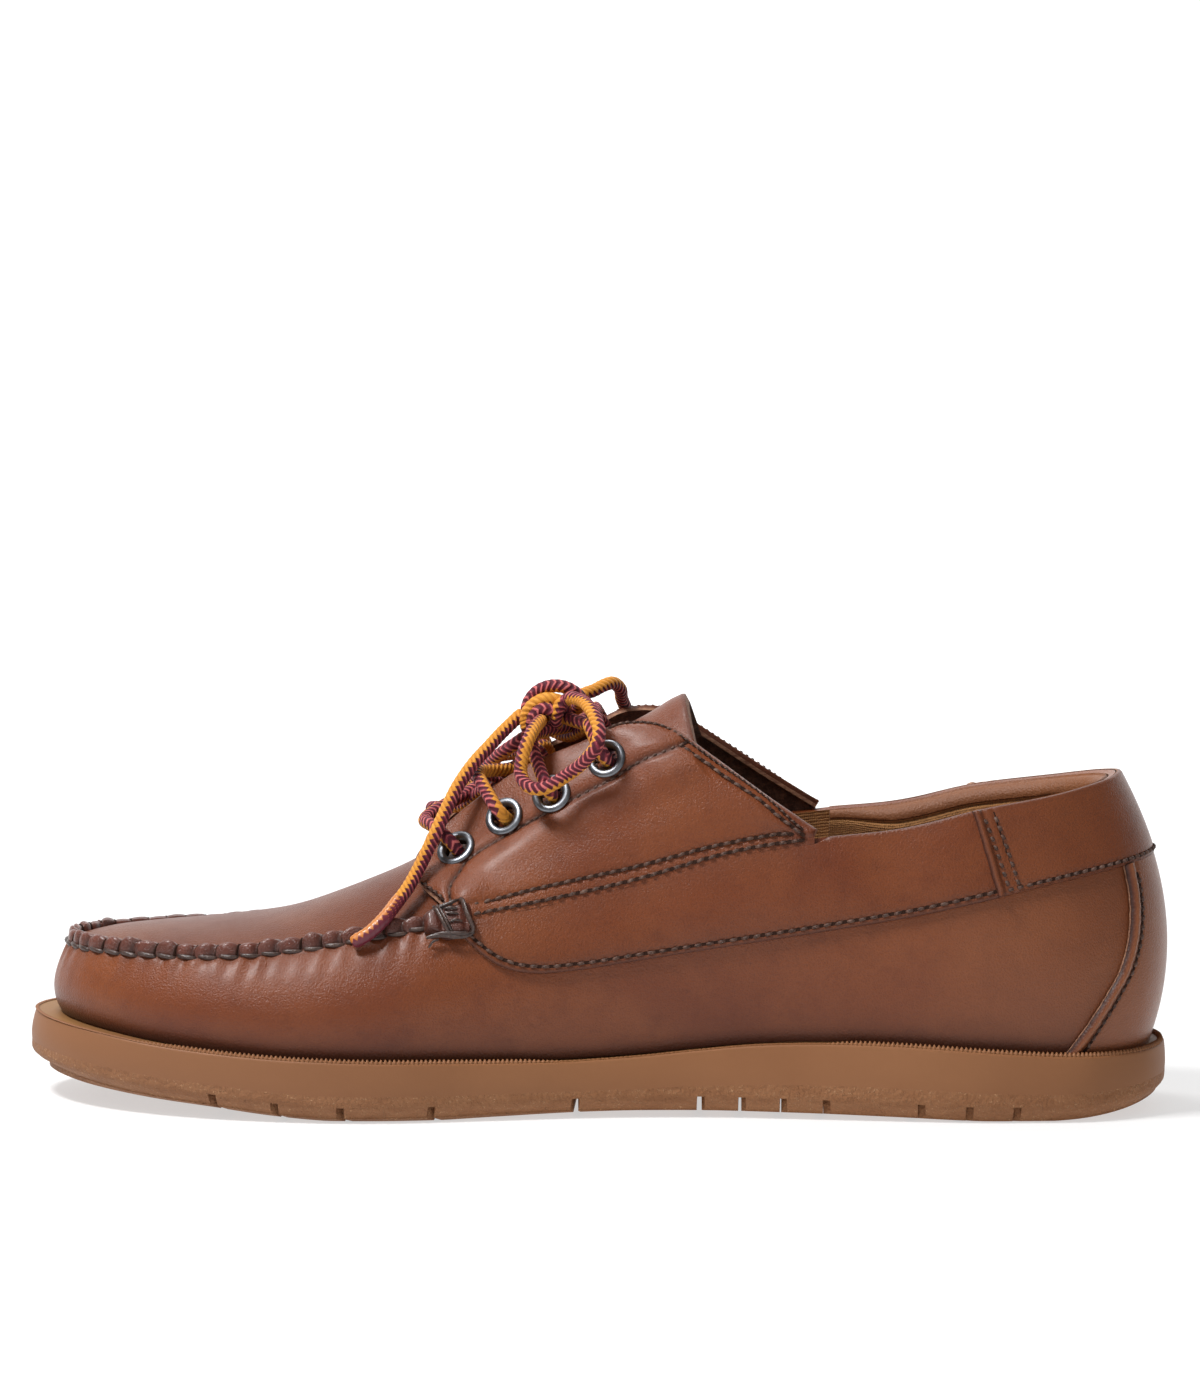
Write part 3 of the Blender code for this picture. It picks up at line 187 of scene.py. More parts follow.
# Free parts of the lace, out from the knot: x, y and z.
LACE_ROUTES = {
    "lace_loop_medial": (
        (162.8, 12.0, 102.2), (162.5, 12.6, 104.4), (161.4, 13.0, 106.4), (159.3, 13.9, 107.9),
        (156.6, 16.8, 107.9), (154.1, 21.8, 106.8), (152.0, 27.4, 104.3), (150.8, 31.2, 101.2),
        (151.3, 32.9, 97.8), (153.4, 32.4, 94.7), (156.2, 31.4, 91.8), (159.2, 31.4, 89.5),
        (162.1, 32.8, 87.7), (165.0, 33.6, 86.4), (168.0, 32.8, 86.3), (170.2, 31.0, 87.6),
        (171.2, 29.4, 90.0), (170.9, 28.2, 93.6), (169.7, 26.0, 97.5), (168.2, 20.8, 100.5),
        (166.6, 13.6, 102.2)),
    "lace_loop_lateral": (
        (157.9, -1.5, 106.6), (155.9, -3.0, 107.4), (153.5, -5.0, 108.1), (151.3, -7.5, 109.1),
        (148.8, -11.0, 109.5), (147.0, -15.0, 107.6), (146.7, -19.5, 104.6),
        (145.8, -23.0, 101.4), (147.0, -27.3, 97.0), (149.7, -29.5, 93.4), (153.9, -28.9, 90.4),
        (159.3, -28.6, 87.9), (164.5, -30.1, 86.8), (168.5, -29.0, 88.0), (170.0, -26.8, 91.2),
        (169.8, -25.2, 95.2), (168.6, -21.6, 99.4), (167.2, -15.5, 102.4), (166.4, -9.6, 104.0),
        (166.0, -4.0, 104.6)),
    "lace_end_medial": (
        (171.9, 6.0, 103.2), (173.7, 7.5, 101.5), (177.3, 10.5, 98.1), (180.5, 13.6, 94.7),
        (184.0, 17.2, 91.0), (188.2, 21.0, 84.9), (191.0, 24.0, 79.1), (193.3, 26.8, 73.9),
        (195.7, 27.8, 68.5), (198.1, 29.0, 63.5), (200.4, 31.4, 59.4), (203.2, 35.2, 55.7),
        (206.2, 39.9, 52.1), (210.0, 41.6, 48.6), (214.1, 41.8, 46.2)),
    "lace_end_lateral": (
        (169.0, 5.0, 98.1), (170.8, 5.0, 96.9), (172.4, 5.2, 95.8), (174.2, 5.0, 94.5),
        (176.1, 4.0, 93.1), (178.1, 2.0, 91.4), (180.1, -0.8, 89.3), (182.1, -4.0, 87.0),
        (183.9, -8.2, 84.6), (185.4, -11.2, 82.6), (187.2, -14.6, 82.6), (189.0, -18.6, 81.4),
        (190.6, -22.8, 78.4), (191.9, -26.6, 74.2), (193.8, -28.6, 69.6), (196.0, -29.6, 65.0),
        (198.8, -31.4, 60.6), (202.0, -34.4, 56.6), (206.0, -39.3, 53.0), (210.5, -41.2, 49.8),
        (215.0, -41.4, 47.6)),
}

# Tongue, front to back: middle height, half its width and how far its edges drop.
tongue = columns(
    "x z half drop",
    (185.0, 70.2, 23.0, 11.0), (176.0, 76.8, 23.0, 11.0), (166.0, 83.8, 23.0, 11.5),
    (154.0, 92.4, 22.5, 12.0), (142.0, 101.0, 21.5, 12.5), (129.5, 108.4, 20.0, 12.0))

# Lower edge of the quarter band and of the heel collar.
band = columns(
    "x z",
    (4.0, 67.6), (19.5, 64.8), (33.6, 62.0), (47.6, 58.8), (68.0, 54.2), (93.0, 49.8),
    (125.0, 44.4), (141.0, 41.7), (156.5, 39.3), (166.8, 38.6), (172.3, 39.3), (177.1, 41.1),
    (182.1, 44.6), (186.5, 48.6))
COLLAR_FRONT = ((46.1, 59.0), (53.3, 82.0))  # front edge of the heel collar, x and z
# Front edge of the heel counter, bottom to top.
COUNTER_FRONT = ((28.0, 19.0), (22.0, 27.5), (18.5, 32.8), (14.9, 38.6), (12.8, 44.4),
                 (11.8, 55.6), (13.2, 64.0))
# Padded collar: inwards from the outside of the wall, and down from the collar line.
PAD_SECTION = ((2.4, 19.0), (4.6, 15.0), (6.4, 9.5), (7.2, 5.0), (6.4, 1.8), (4.8, 0.0),
               (3.2, 0.0), (2.4, 1.4))


def slopes(knots, values):
    """Slope at each row of a smooth curve through rows at uneven knots."""
    step = np.diff(knots)[:, None]
    rate = np.diff(values, axis=0) / step
    inner = (rate[:-1] * step[1:] + rate[1:] * step[:-1]) / (step[:-1] + step[1:])
    return np.vstack((rate[:1], inner, rate[-1:]))


def through(knots, values, at):
    """Cubic curve through the rows of values, whose knots rise or fall, read at the knots in at."""
    rising = slice(None, None, 1 if knots[-1] > knots[0] else -1)
    knots = np.asarray(knots, dtype=float)[rising]
    values = np.asarray(values, dtype=float)[rising]
    shape = np.shape(at) + values.shape[1:]
    values = values.reshape(len(knots), -1)
    slope = slopes(knots, values)
    at = np.asarray(at, dtype=float)
    row = np.clip(np.searchsorted(knots, at, side="right") - 1, 0, len(knots) - 2)
    step = (knots[row + 1] - knots[row])[..., None]
    f = np.clip((at - knots[row])[..., None] / step, 0.0, 1.0)
    return ((2 * f**3 - 3 * f**2 + 1) * values[row]
            + (f**3 - 2 * f**2 + f) * step * slope[row]
            + (3 * f**2 - 2 * f**3) * values[row + 1]
            + (f**3 - f**2) * step * slope[row + 1]).reshape(shape)


def ramp(x, start, end):
    """Soft step from 0 at start to 1 at end."""
    f = np.clip((np.asarray(x, dtype=float) - start) / (end - start), 0.0, 1.0)
    return f * f * (3.0 - 2.0 * f)


def grid_of(first, second):
    """Two rows of values as a grid: first down it and second across."""
    return np.meshgrid(first, second, indexing="ij")


def triples(first, second=0.0, third=0.0):
    """Three values at each point, as one array."""
    return np.stack(np.broadcast_arrays(first, second, third), axis=-1)


def raised(plan, z):
    """Points of a plan, raised to the heights z."""
    return triples(plan[..., 0], plan[..., 1], z)


def size_of(vectors):
    """Length of each vector."""
    return np.linalg.norm(vectors, axis=-1)


def unit(vectors):
    """Vectors of length one."""
    return vectors / np.maximum(size_of(vectors), 1e-12)[..., None]


def square_to(way, steps):
    """Steps without their part along a direction."""
    return steps - way * np.sum(steps * way, axis=-1, keepdims=True)


def running(steps):
    """Running total of the steps, from 0."""
    return np.concatenate(([0.0], np.cumsum(steps)))


def pair(first, second):
    """Two values as arrays of the same shape."""
    return np.broadcast_arrays(np.asarray(first, dtype=float), np.asarray(second, dtype=float))


def lifted(point, u, v, lift, step):
    """Points of a surface, moved by lift along its normal, from differences a step apart."""
    normal = unit(np.cross(point(u, v + step) - point(u, v - step),
                           point(u + step, v) - point(u - step, v)))
    return point(u, v) + normal * np.broadcast_to(lift, u.shape)[..., None]


def along_ring(medial, lateral):
    """Rows of one side and then of the other, as one closed ring with three rows of overlap."""
    ring = np.concatenate((medial, lateral[-2:0:-1]))
    return np.concatenate((ring[-3:], ring, ring[:4]))


def ring_knots():
    """Place of each row round the shoe: 0 at the heel, 0.5 at the toe, 1 at the heel again."""
    steps = 0.0
    for side in ("medial", "lateral"):
        steps = steps + np.hypot(np.diff(section["x"]), np.diff(section[side]))
    half = running(steps)
    half = 0.5 * half / half[-1]
    ring = np.concatenate((half, 1.0 - half[-2:0:-1]))
    return np.concatenate((ring[-3:] - 1.0, ring, ring[:4] + 1.0))


RING_KNOTS = ring_knots()
DENSE_U = np.linspace(0.0, 1.0, 16385)
DENSE_X = np.linspace(-0.02, 0.33, 4001)


@functools.lru_cache(None)
def dense_ring(name_medial, name_lateral):
    """A column of the section table, read closely all round the shoe."""
    return through(RING_KNOTS, along_ring(section[name_medial], section[name_lateral]), DENSE_U)


def ring_value(name_medial, name_lateral, u):
    """A column of the section table at the places u round the shoe."""
    return np.interp(np.mod(u, 1.0), DENSE_U, dense_ring(name_medial, name_lateral))


@functools.lru_cache(None)
def dense_sole(name):
    """A column of the sole's table, read closely along it."""
    return through(sole["x"], sole[name], DENSE_X)


def sole_top(x, y):
    """Height of the sole's top face, which tilts a little from one side to the other."""
    medial = np.interp(x, DENSE_X, dense_sole("rim_m"))
    lateral = np.interp(x, DENSE_X, dense_sole("rim_l"))
    return lateral + (medial - lateral) * ramp(y, -0.035, 0.035)


def tread(x):
    """Height of the tread along the sole, flat under heel and ball."""
    return np.maximum(np.interp(x, DENSE_X, dense_sole("tread")), 0.0)


def outline(u):
    """Outline of the sole in plan, and its outward direction."""
    def point(at):
        return np.stack((ring_value("x", "x", at), ring_value("medial", "lateral", at)), axis=-1)
    step = 1e-4
    way = unit(point(u + step) - point(u - step))
    outward = np.stack((-way[..., 1], way[..., 0]), axis=-1)
    return point(u), outward


def wall_foot(u):
    """Foot of the wall in plan, with its height and the outward direction there."""
    edge, outward = outline(u)
    foot = edge - outward * ring_value("ledge", "ledge", u)[..., None]
    return foot, sole_top(foot[..., 0], foot[..., 1]) + GAP, outward


@functools.lru_cache(None)
def wall_table():
    """Foot, lower, upper and top points in plan of the wall's columns, and both ends' heights."""
    u = DENSE_U
    foot, foot_z, outward = wall_foot(u)
    top = np.stack((ring_value("top_x", "top_x", u), ring_value("top_m", "top_l", u)), axis=-1)
    low = foot + outward * ring_value("low_m", "low_l", u)[..., None]
    high = top + outward * ring_value("high_m", "high_l", u)[..., None]
    return np.concatenate((foot, low, high, top, foot_z[:, None],
                           ring_value("top_z", "top_z", u)[:, None]), axis=1).T.copy()


def wall(u, v, lift=0.0):
    """Outside of the upper's wall: a Bezier column from the sole (v 0) to its top line (v 1)."""
    def point(u, v):
        u = np.mod(u, 1.0)
        fx, fy, lx, ly, hx, hy, tx, ty, fz, tz = (
            np.interp(u, DENSE_U, row) for row in wall_table())
        a, b, c, d = (1 - v)**3, 3 * (1 - v)**2 * v, 3 * (1 - v) * v**2, v**3
        return triples(a * fx + b * lx + c * hx + d * tx, a * fy + b * ly + c * hy + d * ty,
                       fz + (tz - fz) * v)
    u, v = pair(u, v)
    if np.ndim(lift) == 0 and lift == 0.0:
        return point(u, v)
    return lifted(point, u, v, lift, 1e-4)


def level(u, z):
    """How far up the wall the height z is, from 0 at the sole to 1 at the top line."""
    foot_z = wall_foot(u)[1]
    return (z - foot_z) / (ring_value("top_z", "top_z", u) - foot_z)


def around(count):
    """Columns round the shoe, closer together at the heel and the toe."""
    k = np.arange(count) / count
    return k - 0.4 * np.sin(4 * math.pi * k) / (4 * math.pi)


def place_of_x(x, side, v=1.0):
    """Place u on one side (1 medial, -1 lateral) where the wall at v crosses x."""
    u = np.linspace(0.0, 0.5, 2001)
    xs = wall(u if side > 0 else 1.0 - u, np.full_like(u, v))[..., 0]
    start = int(np.argmin(xs[:200]))
    found = np.interp(x, xs[start:], u[start:])
    return found if side > 0 else 1.0 - found


def tidy(point):
    """From the heel's back to the shoe's own origin."""
    return point - np.array((ORIGIN_X, 0.0, 0.0))


@functools.lru_cache(None)
def dense_edge():
    """The facing's free edge, read closely: for each of x, y and z, its foot's x and its value."""
    foot = np.linspace(facing["low_x"][-1], facing["low_x"][0], 4001)
    return [(foot, through(facing["low_x"], facing[key], foot))
            for key in ("edge_x", "edge_y", "edge_z")]


def facing_edge(u):
    """Free edge of the facing for the column that stands at u on the facing's seam."""
    side = np.where(np.mod(u, 1.0) < 0.5, 1.0, -1.0)
    x = wall(u, 1.0)[..., 0]
    edge = np.stack([np.interp(x, *edge) for edge in dense_edge()], axis=-1)
    edge[..., 1] *= side
    return edge, side


def instep(u, w, lift=0.0):
    """Facing's own surface, from its seam on the wall (w 0) to its free edge (w 1)."""
    def point(u, w):
        base = wall(u, 1.0)
        edge, side = facing_edge(u)
        look = unit(np.array(EDGE_NORMAL) * triples(1.0, side, 1.0))
        edge = edge - look * (GAP + FACING)
        step = 1e-4
        up = wall(u, 1.0) - wall(u, 1.0 - step)
        way = wall(u + step, 1.0) - wall(u - step, 1.0)
        out = unit(np.cross(up, way))
        chord = edge - base
        length = size_of(chord)[..., None]
        leave = unit(square_to(out, chord)) * length
        arrive = unit(square_to(look, chord)) * length
        f = w[..., None]
        return ((2 * f**3 - 3 * f**2 + 1) * base + (f**3 - 2 * f**2 + f) * leave
                + (3 * f**2 - 2 * f**3) * edge + (f**3 - f**2) * arrive)
    return lifted(point, *pair(u, w), lift, 1e-3)


def plug_surface(u, q, lift=0.0):
    """Plug between its two seams: q runs across, from 1 at the medial seam to -1."""
    u, q = pair(u, q)
    medial = wall(u, 1.0, -WALL * 0.5)
    lateral = wall(1.0 - u, 1.0, -WALL * 0.5)
    place = lateral + (medial - lateral) * ((1 + q) / 2)[..., None]
    bottom = np.minimum(medial[..., 2], lateral[..., 2])
    height = np.maximum(through(crown["x"], crown["z"], place[..., 0]) - bottom, 0.0)
    place[..., 2] += height * (1 - np.abs(q)**2.1) + lift
    return place


def band_low(x):
    """Height of the lower edge of band and heel collar."""
    return through(band["x"], band["z"], x)


def level_of_edge(u, height_of_x):
    """Level on the wall of an edge given as height over x, for each place u."""
    v = np.full_like(u, 0.6)
    for _ in range(6):
        v = level(u, height_of_x(wall(u, v)[..., 0]))
    return v


def front_place(x, z, side):
    """Place u where the wall's outside is at x and z, near the heel, on one side."""
    u = np.linspace(0.004, 0.30, 1200)
    u = u if side > 0 else 1.0 - u
    v = np.clip(level(u, z), 0.0, 1.0)
    gap = np.abs(wall(u, v)[..., 0] - x)
    return u[int(np.argmin(gap))]


def slanted_edge(points, rows):
    """Places u on both sides, at equal heights, of an edge given by points of x and z."""
    points = np.array(points) * MM
    z = np.linspace(points[0, 1], points[-1, 1], rows)
    x = through(points[:, 1], points[:, 0], z)
    return [np.array([front_place(a, b, side) for a, b in zip(x, z)]) for side in (1, -1)]


def facing_ends(side):
    """Places u of the front and the rear end of the facing's seam."""
    return [place_of_x(facing["low_x"][k], side) for k in (0, -1)]


def facing_grid(side, count, rows):
    """Places u along the facing's seam and shares w up to its free edge."""
    return grid_of(np.linspace(*facing_ends(side), count), np.linspace(0.0, 1.0, rows))


@functools.lru_cache(None)
def eyelet_frames(side):
    """Place and outward direction of each eyelet on the outside of one facing."""
    uu, ww = facing_grid(side, 160, 60)
    face = instep(uu, ww, GAP + FACING)
    under = instep(uu, ww, GAP)
    found = []
    for x, z in EYELETS:
        away = np.hypot(face[..., 0] - x * MM, face[..., 2] - z * MM)
        spot = np.unravel_index(int(np.argmin(away)), away.shape)
        found.append((face[spot], unit(face[spot] - under[spot])))
    return found


def passage(side, number):
    """Way of the lace through one eyelet, from the throat and back to it."""
    place, way = eyelet_frames(side)[number]
    uu, ww = facing_grid(side, 80, 2)
    rim = instep(uu, ww, GAP + FACING)[:, -1]
    ahead = square_to(way, rim[int(np.argmin(size_of(rim - place)))] - place)
    reach = size_of(ahead)
    ahead = ahead / reach
    along = passage_steps["ahead"] + passage_steps["share"] / MM * reach
    return place + ahead * along[:, None] + way * passage_steps["height"][:, None]


def lace_route(first_side):
    """Route of one half of the lace, from its lowest eyelet, side to side, to the knot."""
    side = first_side
    route = [passage(side, 0)[HOLE_ROWS]]
    for number in range(1, len(EYELETS)):
        side = -side
        there = passage(side, number)
        middle = (route[-1][-1] + there[0]) / 2
        middle[2] += CROSSING_RISE * first_side
        route.append(middle[None])
        route.append(there)
    route[-1] = route[-1][:-1]
    route.append(np.array(TIES[0 if side > 0 else 1]) * MM)
    return np.concatenate(route)


# ---- sizes of the visual pieces

LEATHER_STOPS = ((0.150, 0.034, 0.010), (0.205, 0.056, 0.017), (0.095, 0.019, 0.006))
COLLAR_STOPS = ((0.185, 0.062, 0.021), (0.250, 0.092, 0.032), (0.120, 0.037, 0.013))
SEAM_STOPS = ((0.112, 0.025, 0.013), (0.155, 0.038, 0.020), (0.062, 0.014, 0.009))
# Plug: darker stops than the main leather, painted shade on the top of the shoe, which the lamps
# above light most.
PLUG_STOPS = ((0.115, 0.026, 0.008), (0.155, 0.042, 0.013), (0.072, 0.014, 0.005))
# Dark brown for the pores and streaks of the grain, and for painted shade.
PORE_AND_SHADE_BROWN = (0.045, 0.016, 0.011)
# Pale tan: the leather's own paler tone at heel and collar, and a painted highlight on the
# counter's piping.
TAN = (0.300, 0.120, 0.055)
BEAD_PITCH = 0.0056  # stitches of the seam round the plug
BEAD_WIDTH = (0.58, 0.50, 0.18)  # at a pinch, more between pinches, and its chance, as
BEAD_HEIGHT = (0.66, 0.35, 0.16)  # shares of the raised seam's width and height
BEAD_RINGS = 16  # sections to a stitch of that seam
PINCH_SLANT = 0.20  # how far a pinch is later on the outer side, in stitches
FAR_SINK = 0.50  # how much lower that seam is on the lateral side
SEAM_DEPTH = 0.0014  # how far its section reaches below its line
SEAM_THREAD = 0.0013  # thick thread of that seam, across
ROPE_OUT = 0.00165  # middle of the rope of thread, out from the seam's line,
ROPE_BEND = 0.00022  # how much further out at the middle of a strand,
ROPE_DROP = 0.00015  # how much lower than the line,
ROPE_CLIMB = 0.00042  # and how far a strand climbs
STRAND_REACH = 0.60  # half length of a strand, in stitches
WRAP_RADIUS = 0.00036  # thread over that seam at each pinch
FINE_THREAD = 0.00090  # thread of the other seams, across
LONG_STITCH = 0.0031  # bands and double seam
SHORT_STITCH = 0.0025  # heel collar and counter
SEED = 7
KNOT_CORE = 0.62  # dark middle of the knot, as a share of its half sizes
BRAID = 0.00078  # half a tooth of the lace's stripe, along it
CHEVRON = 4.2  # how far the braid's bumps slant, in radians a radian round it
# Turns of the knot, each closed: places in mm, and the way its stripe looks.
KNOT_TURNS = (
    (((170.4, 6.0, 100.9), (170.6, 7.0, 105.2), (168.2, 7.5, 108.8), (164.1, 8.0, 110.5),
      (160.2, 8.0, 110.0), (157.3, 7.0, 108.0), (157.0, 3.0, 105.0), (160.0, 0.0, 102.6),
      (165.0, -1.0, 101.4), (169.0, 2.0, 100.4)), (0.1, 0.75, 0.65)),
    (((170.6, 8.0, 99.2), (170.8, 9.4, 102.8), (168.8, 10.4, 105.8), (165.7, 10.8, 107.3),
      (162.6, 10.4, 106.9), (160.9, 8.0, 105.0), (161.6, 4.0, 102.6), (165.2, 3.0, 100.6),
      (168.6, 5.0, 99.0)), (-0.3, -0.2, -0.9)),
    (((169.3, 9.0, 99.6), (168.6, 11.4, 102.8), (166.3, 12.4, 104.8), (164.0, 12.2, 104.4),
      (162.8, 10.4, 102.0), (163.6, 7.4, 100.0), (166.6, 6.6, 98.8)), (0.2, 0.95, 0.2)),
)
# Way the stripe of each free part looks, from its start to its end.
STRIPES = {
    "lace_loop_medial": (
        (-0.7, 0.3, -0.6), (-0.3, 0.4, 0.85), (-0.93, 0.3, 0.2), (-0.88, 0.45, 0.0),
        (-0.1, 0.98, 0.15), (0.25, 0.6, 0.75), (0.3, 0.6, 0.7), (0.97, 0.1, -0.2),
        (0.95, 0.0, 0.1), (0.8, -0.2, 0.5)),
    "lace_loop_lateral": (
        (0.0, 0.3, -0.95), (-0.2, 0.3, -0.9), (-0.7, 0.3, -0.3), (-0.7, 0.5, 0.2),
        (0.0, 0.9, 0.3), (0.3, 0.6, 0.7), (0.8, 0.4, 0.3)),
    "lace_end_medial": ((-0.5, 0.45, -0.75), (-0.7, 0.45, -0.5), (-0.8, 0.35, -0.4)),
    "lace_end_lateral": ((-0.3, 0.8, 0.5), (0.0, 0.5, 0.85), (0.2, 0.5, 0.8)),
}
LACING_STRIPES = (
    (1, ((-0.3, 0.9, 0.2), (0.1, 0.7, 0.7), (-0.6, 0.8, 0.0))),
    (-1, ((0.1, 0.6, 0.8), (0.9, 0.1, 0.3), (0.3, 0.5, 0.8), (-0.5, 0.8, 0.2))),
)
TAB_START, TAB_LENGTH = 195.6, 12.6  # tab of the tack: its front end and length, in mm,
TAB_HALF, TAB_SPREAD = 2.0, 1.8  # half its width in front, and how much more behind
# Threads of the tack: places as x, down from the wall's top line and lift, and the radius, in mm.
TACK_THREADS = (
    (((185.6, -3.6, 2.0), (185.0, -2.9, 3.5), (184.7, -1.5, 4.4), (184.4, 0.7, 4.6),
      (183.5, 2.9, 4.3), (183.0, 4.3, 3.6), (183.9, 5.2, 2.4)), 0.80),
    (((182.7, 5.0, 2.9), (185.0, 5.5, 3.2), (188.0, 5.2, 3.3), (191.0, 4.3, 3.1),
      (194.8, 4.2, 2.6)), 0.66),
    (((184.0, 5.2, 3.7), (187.0, 4.8, 3.9), (190.0, 4.2, 3.7), (192.8, 3.9, 3.0)), 0.48),
    (((192.5, -2.8, 2.4), (192.0, -1.7, 4.0), (191.5, -0.3, 4.6), (190.5, 2.0, 4.6),
      (189.5, 3.7, 4.0), (188.7, 4.8, 3.0)), 0.64),
    (((191.4, -2.9, 2.6), (191.0, -1.3, 4.2), (190.4, 0.3, 4.8), (189.5, 2.3, 4.7),
      (188.4, 4.2, 3.6)), 0.54),
    (((193.6, -1.6, 2.8), (190.5, -2.1, 3.6), (188.5, -2.4, 3.7), (186.8, -2.9, 3.5),
      (185.6, -3.4, 2.6)), 0.50),
    (((190.0, -1.3, 3.9), (188.4, -1.2, 4.3), (186.6, -1.0, 3.9)), 0.38),
    (((189.6, -0.1, 3.9), (188.2, 0.0, 4.3), (186.6, 0.2, 3.9)), 0.36),
    (((189.2, 1.9, 3.8), (187.6, 1.7, 4.2), (185.7, 2.1, 3.8)), 0.34),
    (((194.0, 6.4, 1.9), (193.0, 5.4, 2.7), (191.6, 5.0, 2.6)), 0.32),
)
EYELET_SEAM = (
    (106.2, 860.0), (107.8, 810.0), (111.6, 742.0), (117.2, 702.0), (125.1, 678.0), (135.7, 640.0),
    (144.8, 616.0), (154.7, 604.0), (161.2, 590.0), (165.0, 590.0), (169.3, 575.0),
    (173.6, 519.0), (180.8, 440.0), (185.6, 300.0),
)
# Other rows on the facing: x of the column's foot, and share up the facing.
FRONT_ROW = ((183.9, 965.0), (184.6, 830.0), (185.5, 690.0), (186.3, 570.0))
REAR_ROW = (
    (96.5, 127.0), (97.0, 304.0), (97.8, 418.0), (98.9, 560.0), (100.7, 605.0), (102.8, 650.0),
    (104.0, 700.0), (106.5, 762.0), (107.6, 800.0),
)
EDGE_ROW = (
    (95.9, 330.0), (97.5, 690.0), (99.1, 775.0), (102.1, 822.0), (105.1, 893.0), (107.8, 950.0),
    (112.0, 974.0), (120.0, 980.0),
)
UPPER_ROW = (  # upper row of the double seam: x of its foot, and height over it
    (99.0, 2.2), (106.0, 2.5), (114.2, 2.4), (122.4, 2.7), (130.8, 2.9), (140.5, 3.3),
    (150.0, 3.6), (169.0, 3.6), (176.0, 3.2), (183.0, 2.4), (185.0, 1.7),
)
LOWER_ROW = 0.0003  # lower row, under the foot of the facing
BAND_ROW = 0.0018  # rows of the quarter band, heel collar and counter, from their edges
COLLAR_FOOT_ROW = 0.0013
COLLAR_FRONT_ROWS = (0.0026, 0.0054)
COUNTER_ROW = 0.0042
COLLAR_LAP = 0.002  # foot of the heel collar over the band's lower edge
COUNTER_THICK = OVERLAY * 0.62
EDGE_ROUND = 0.0008  # rounding of the cut edges of the leather on the wall
GROOVE_DEPTH = 0.00026  # groove that its stitches press in, and half its width
GROOVE_WIDTH = 0.0007
RUBBER_BAND = 0.44  # height of the stippled band on the sole's side
TOOTH = 0.0012  # teeth of the welt round the sole


# ---- grids

def grid_quads(rows, across, wrap_rows=False, wrap_across=False):
    """Quads of a grid: each joins a point, the next in its row and the same two of the next row."""
    i = np.arange(rows if wrap_rows else rows - 1)[:, None]
    j = np.arange(across if wrap_across else across - 1)[None]
    down, right = (i + 1) % rows, (j + 1) % across
    corners = (i * across + j, down * across + j, down * across + right, i * across + right)
    return np.stack(np.broadcast_arrays(*corners), axis=-1).reshape(-1, 4)


def open_rim(quads, size):
    """Quads from each edge that has one face only to the same edge of the grid size points on."""
    edges = np.concatenate([quads[:, (k, (k + 1) % 4)] for k in range(4)])
    there = edges[:, 0] * (2 * size) + edges[:, 1]
    back = edges[:, 1] * (2 * size) + edges[:, 0]
    lone = edges[~np.isin(there, back)]
    return np.stack((lone[:, 1], lone[:, 0], lone[:, 0] + size, lone[:, 1] + size), axis=-1)


def end_caps(count, sides):
    """Faces that close both ends of a tube of count rings."""
    return np.stack((np.arange(sides)[::-1], np.arange(sides) + (count - 1) * sides))


def turns(sides):
    """Equal angles once round."""
    return np.arange(sides) * 2 * math.pi / sides


def hoop(first, second, angle):
    """Directions round a ring: first times the cosine plus second times the sine."""
    return (first[..., None, :] * np.cos(angle)[:, None]
            + second[..., None, :] * np.sin(angle)[:, None])


def show(name, data):
    """New object of the scene for a mesh, a lamp or a camera."""
    made = bpy.data.objects.new(name, data)
    bpy.context.scene.collection.objects.link(made)
    return made


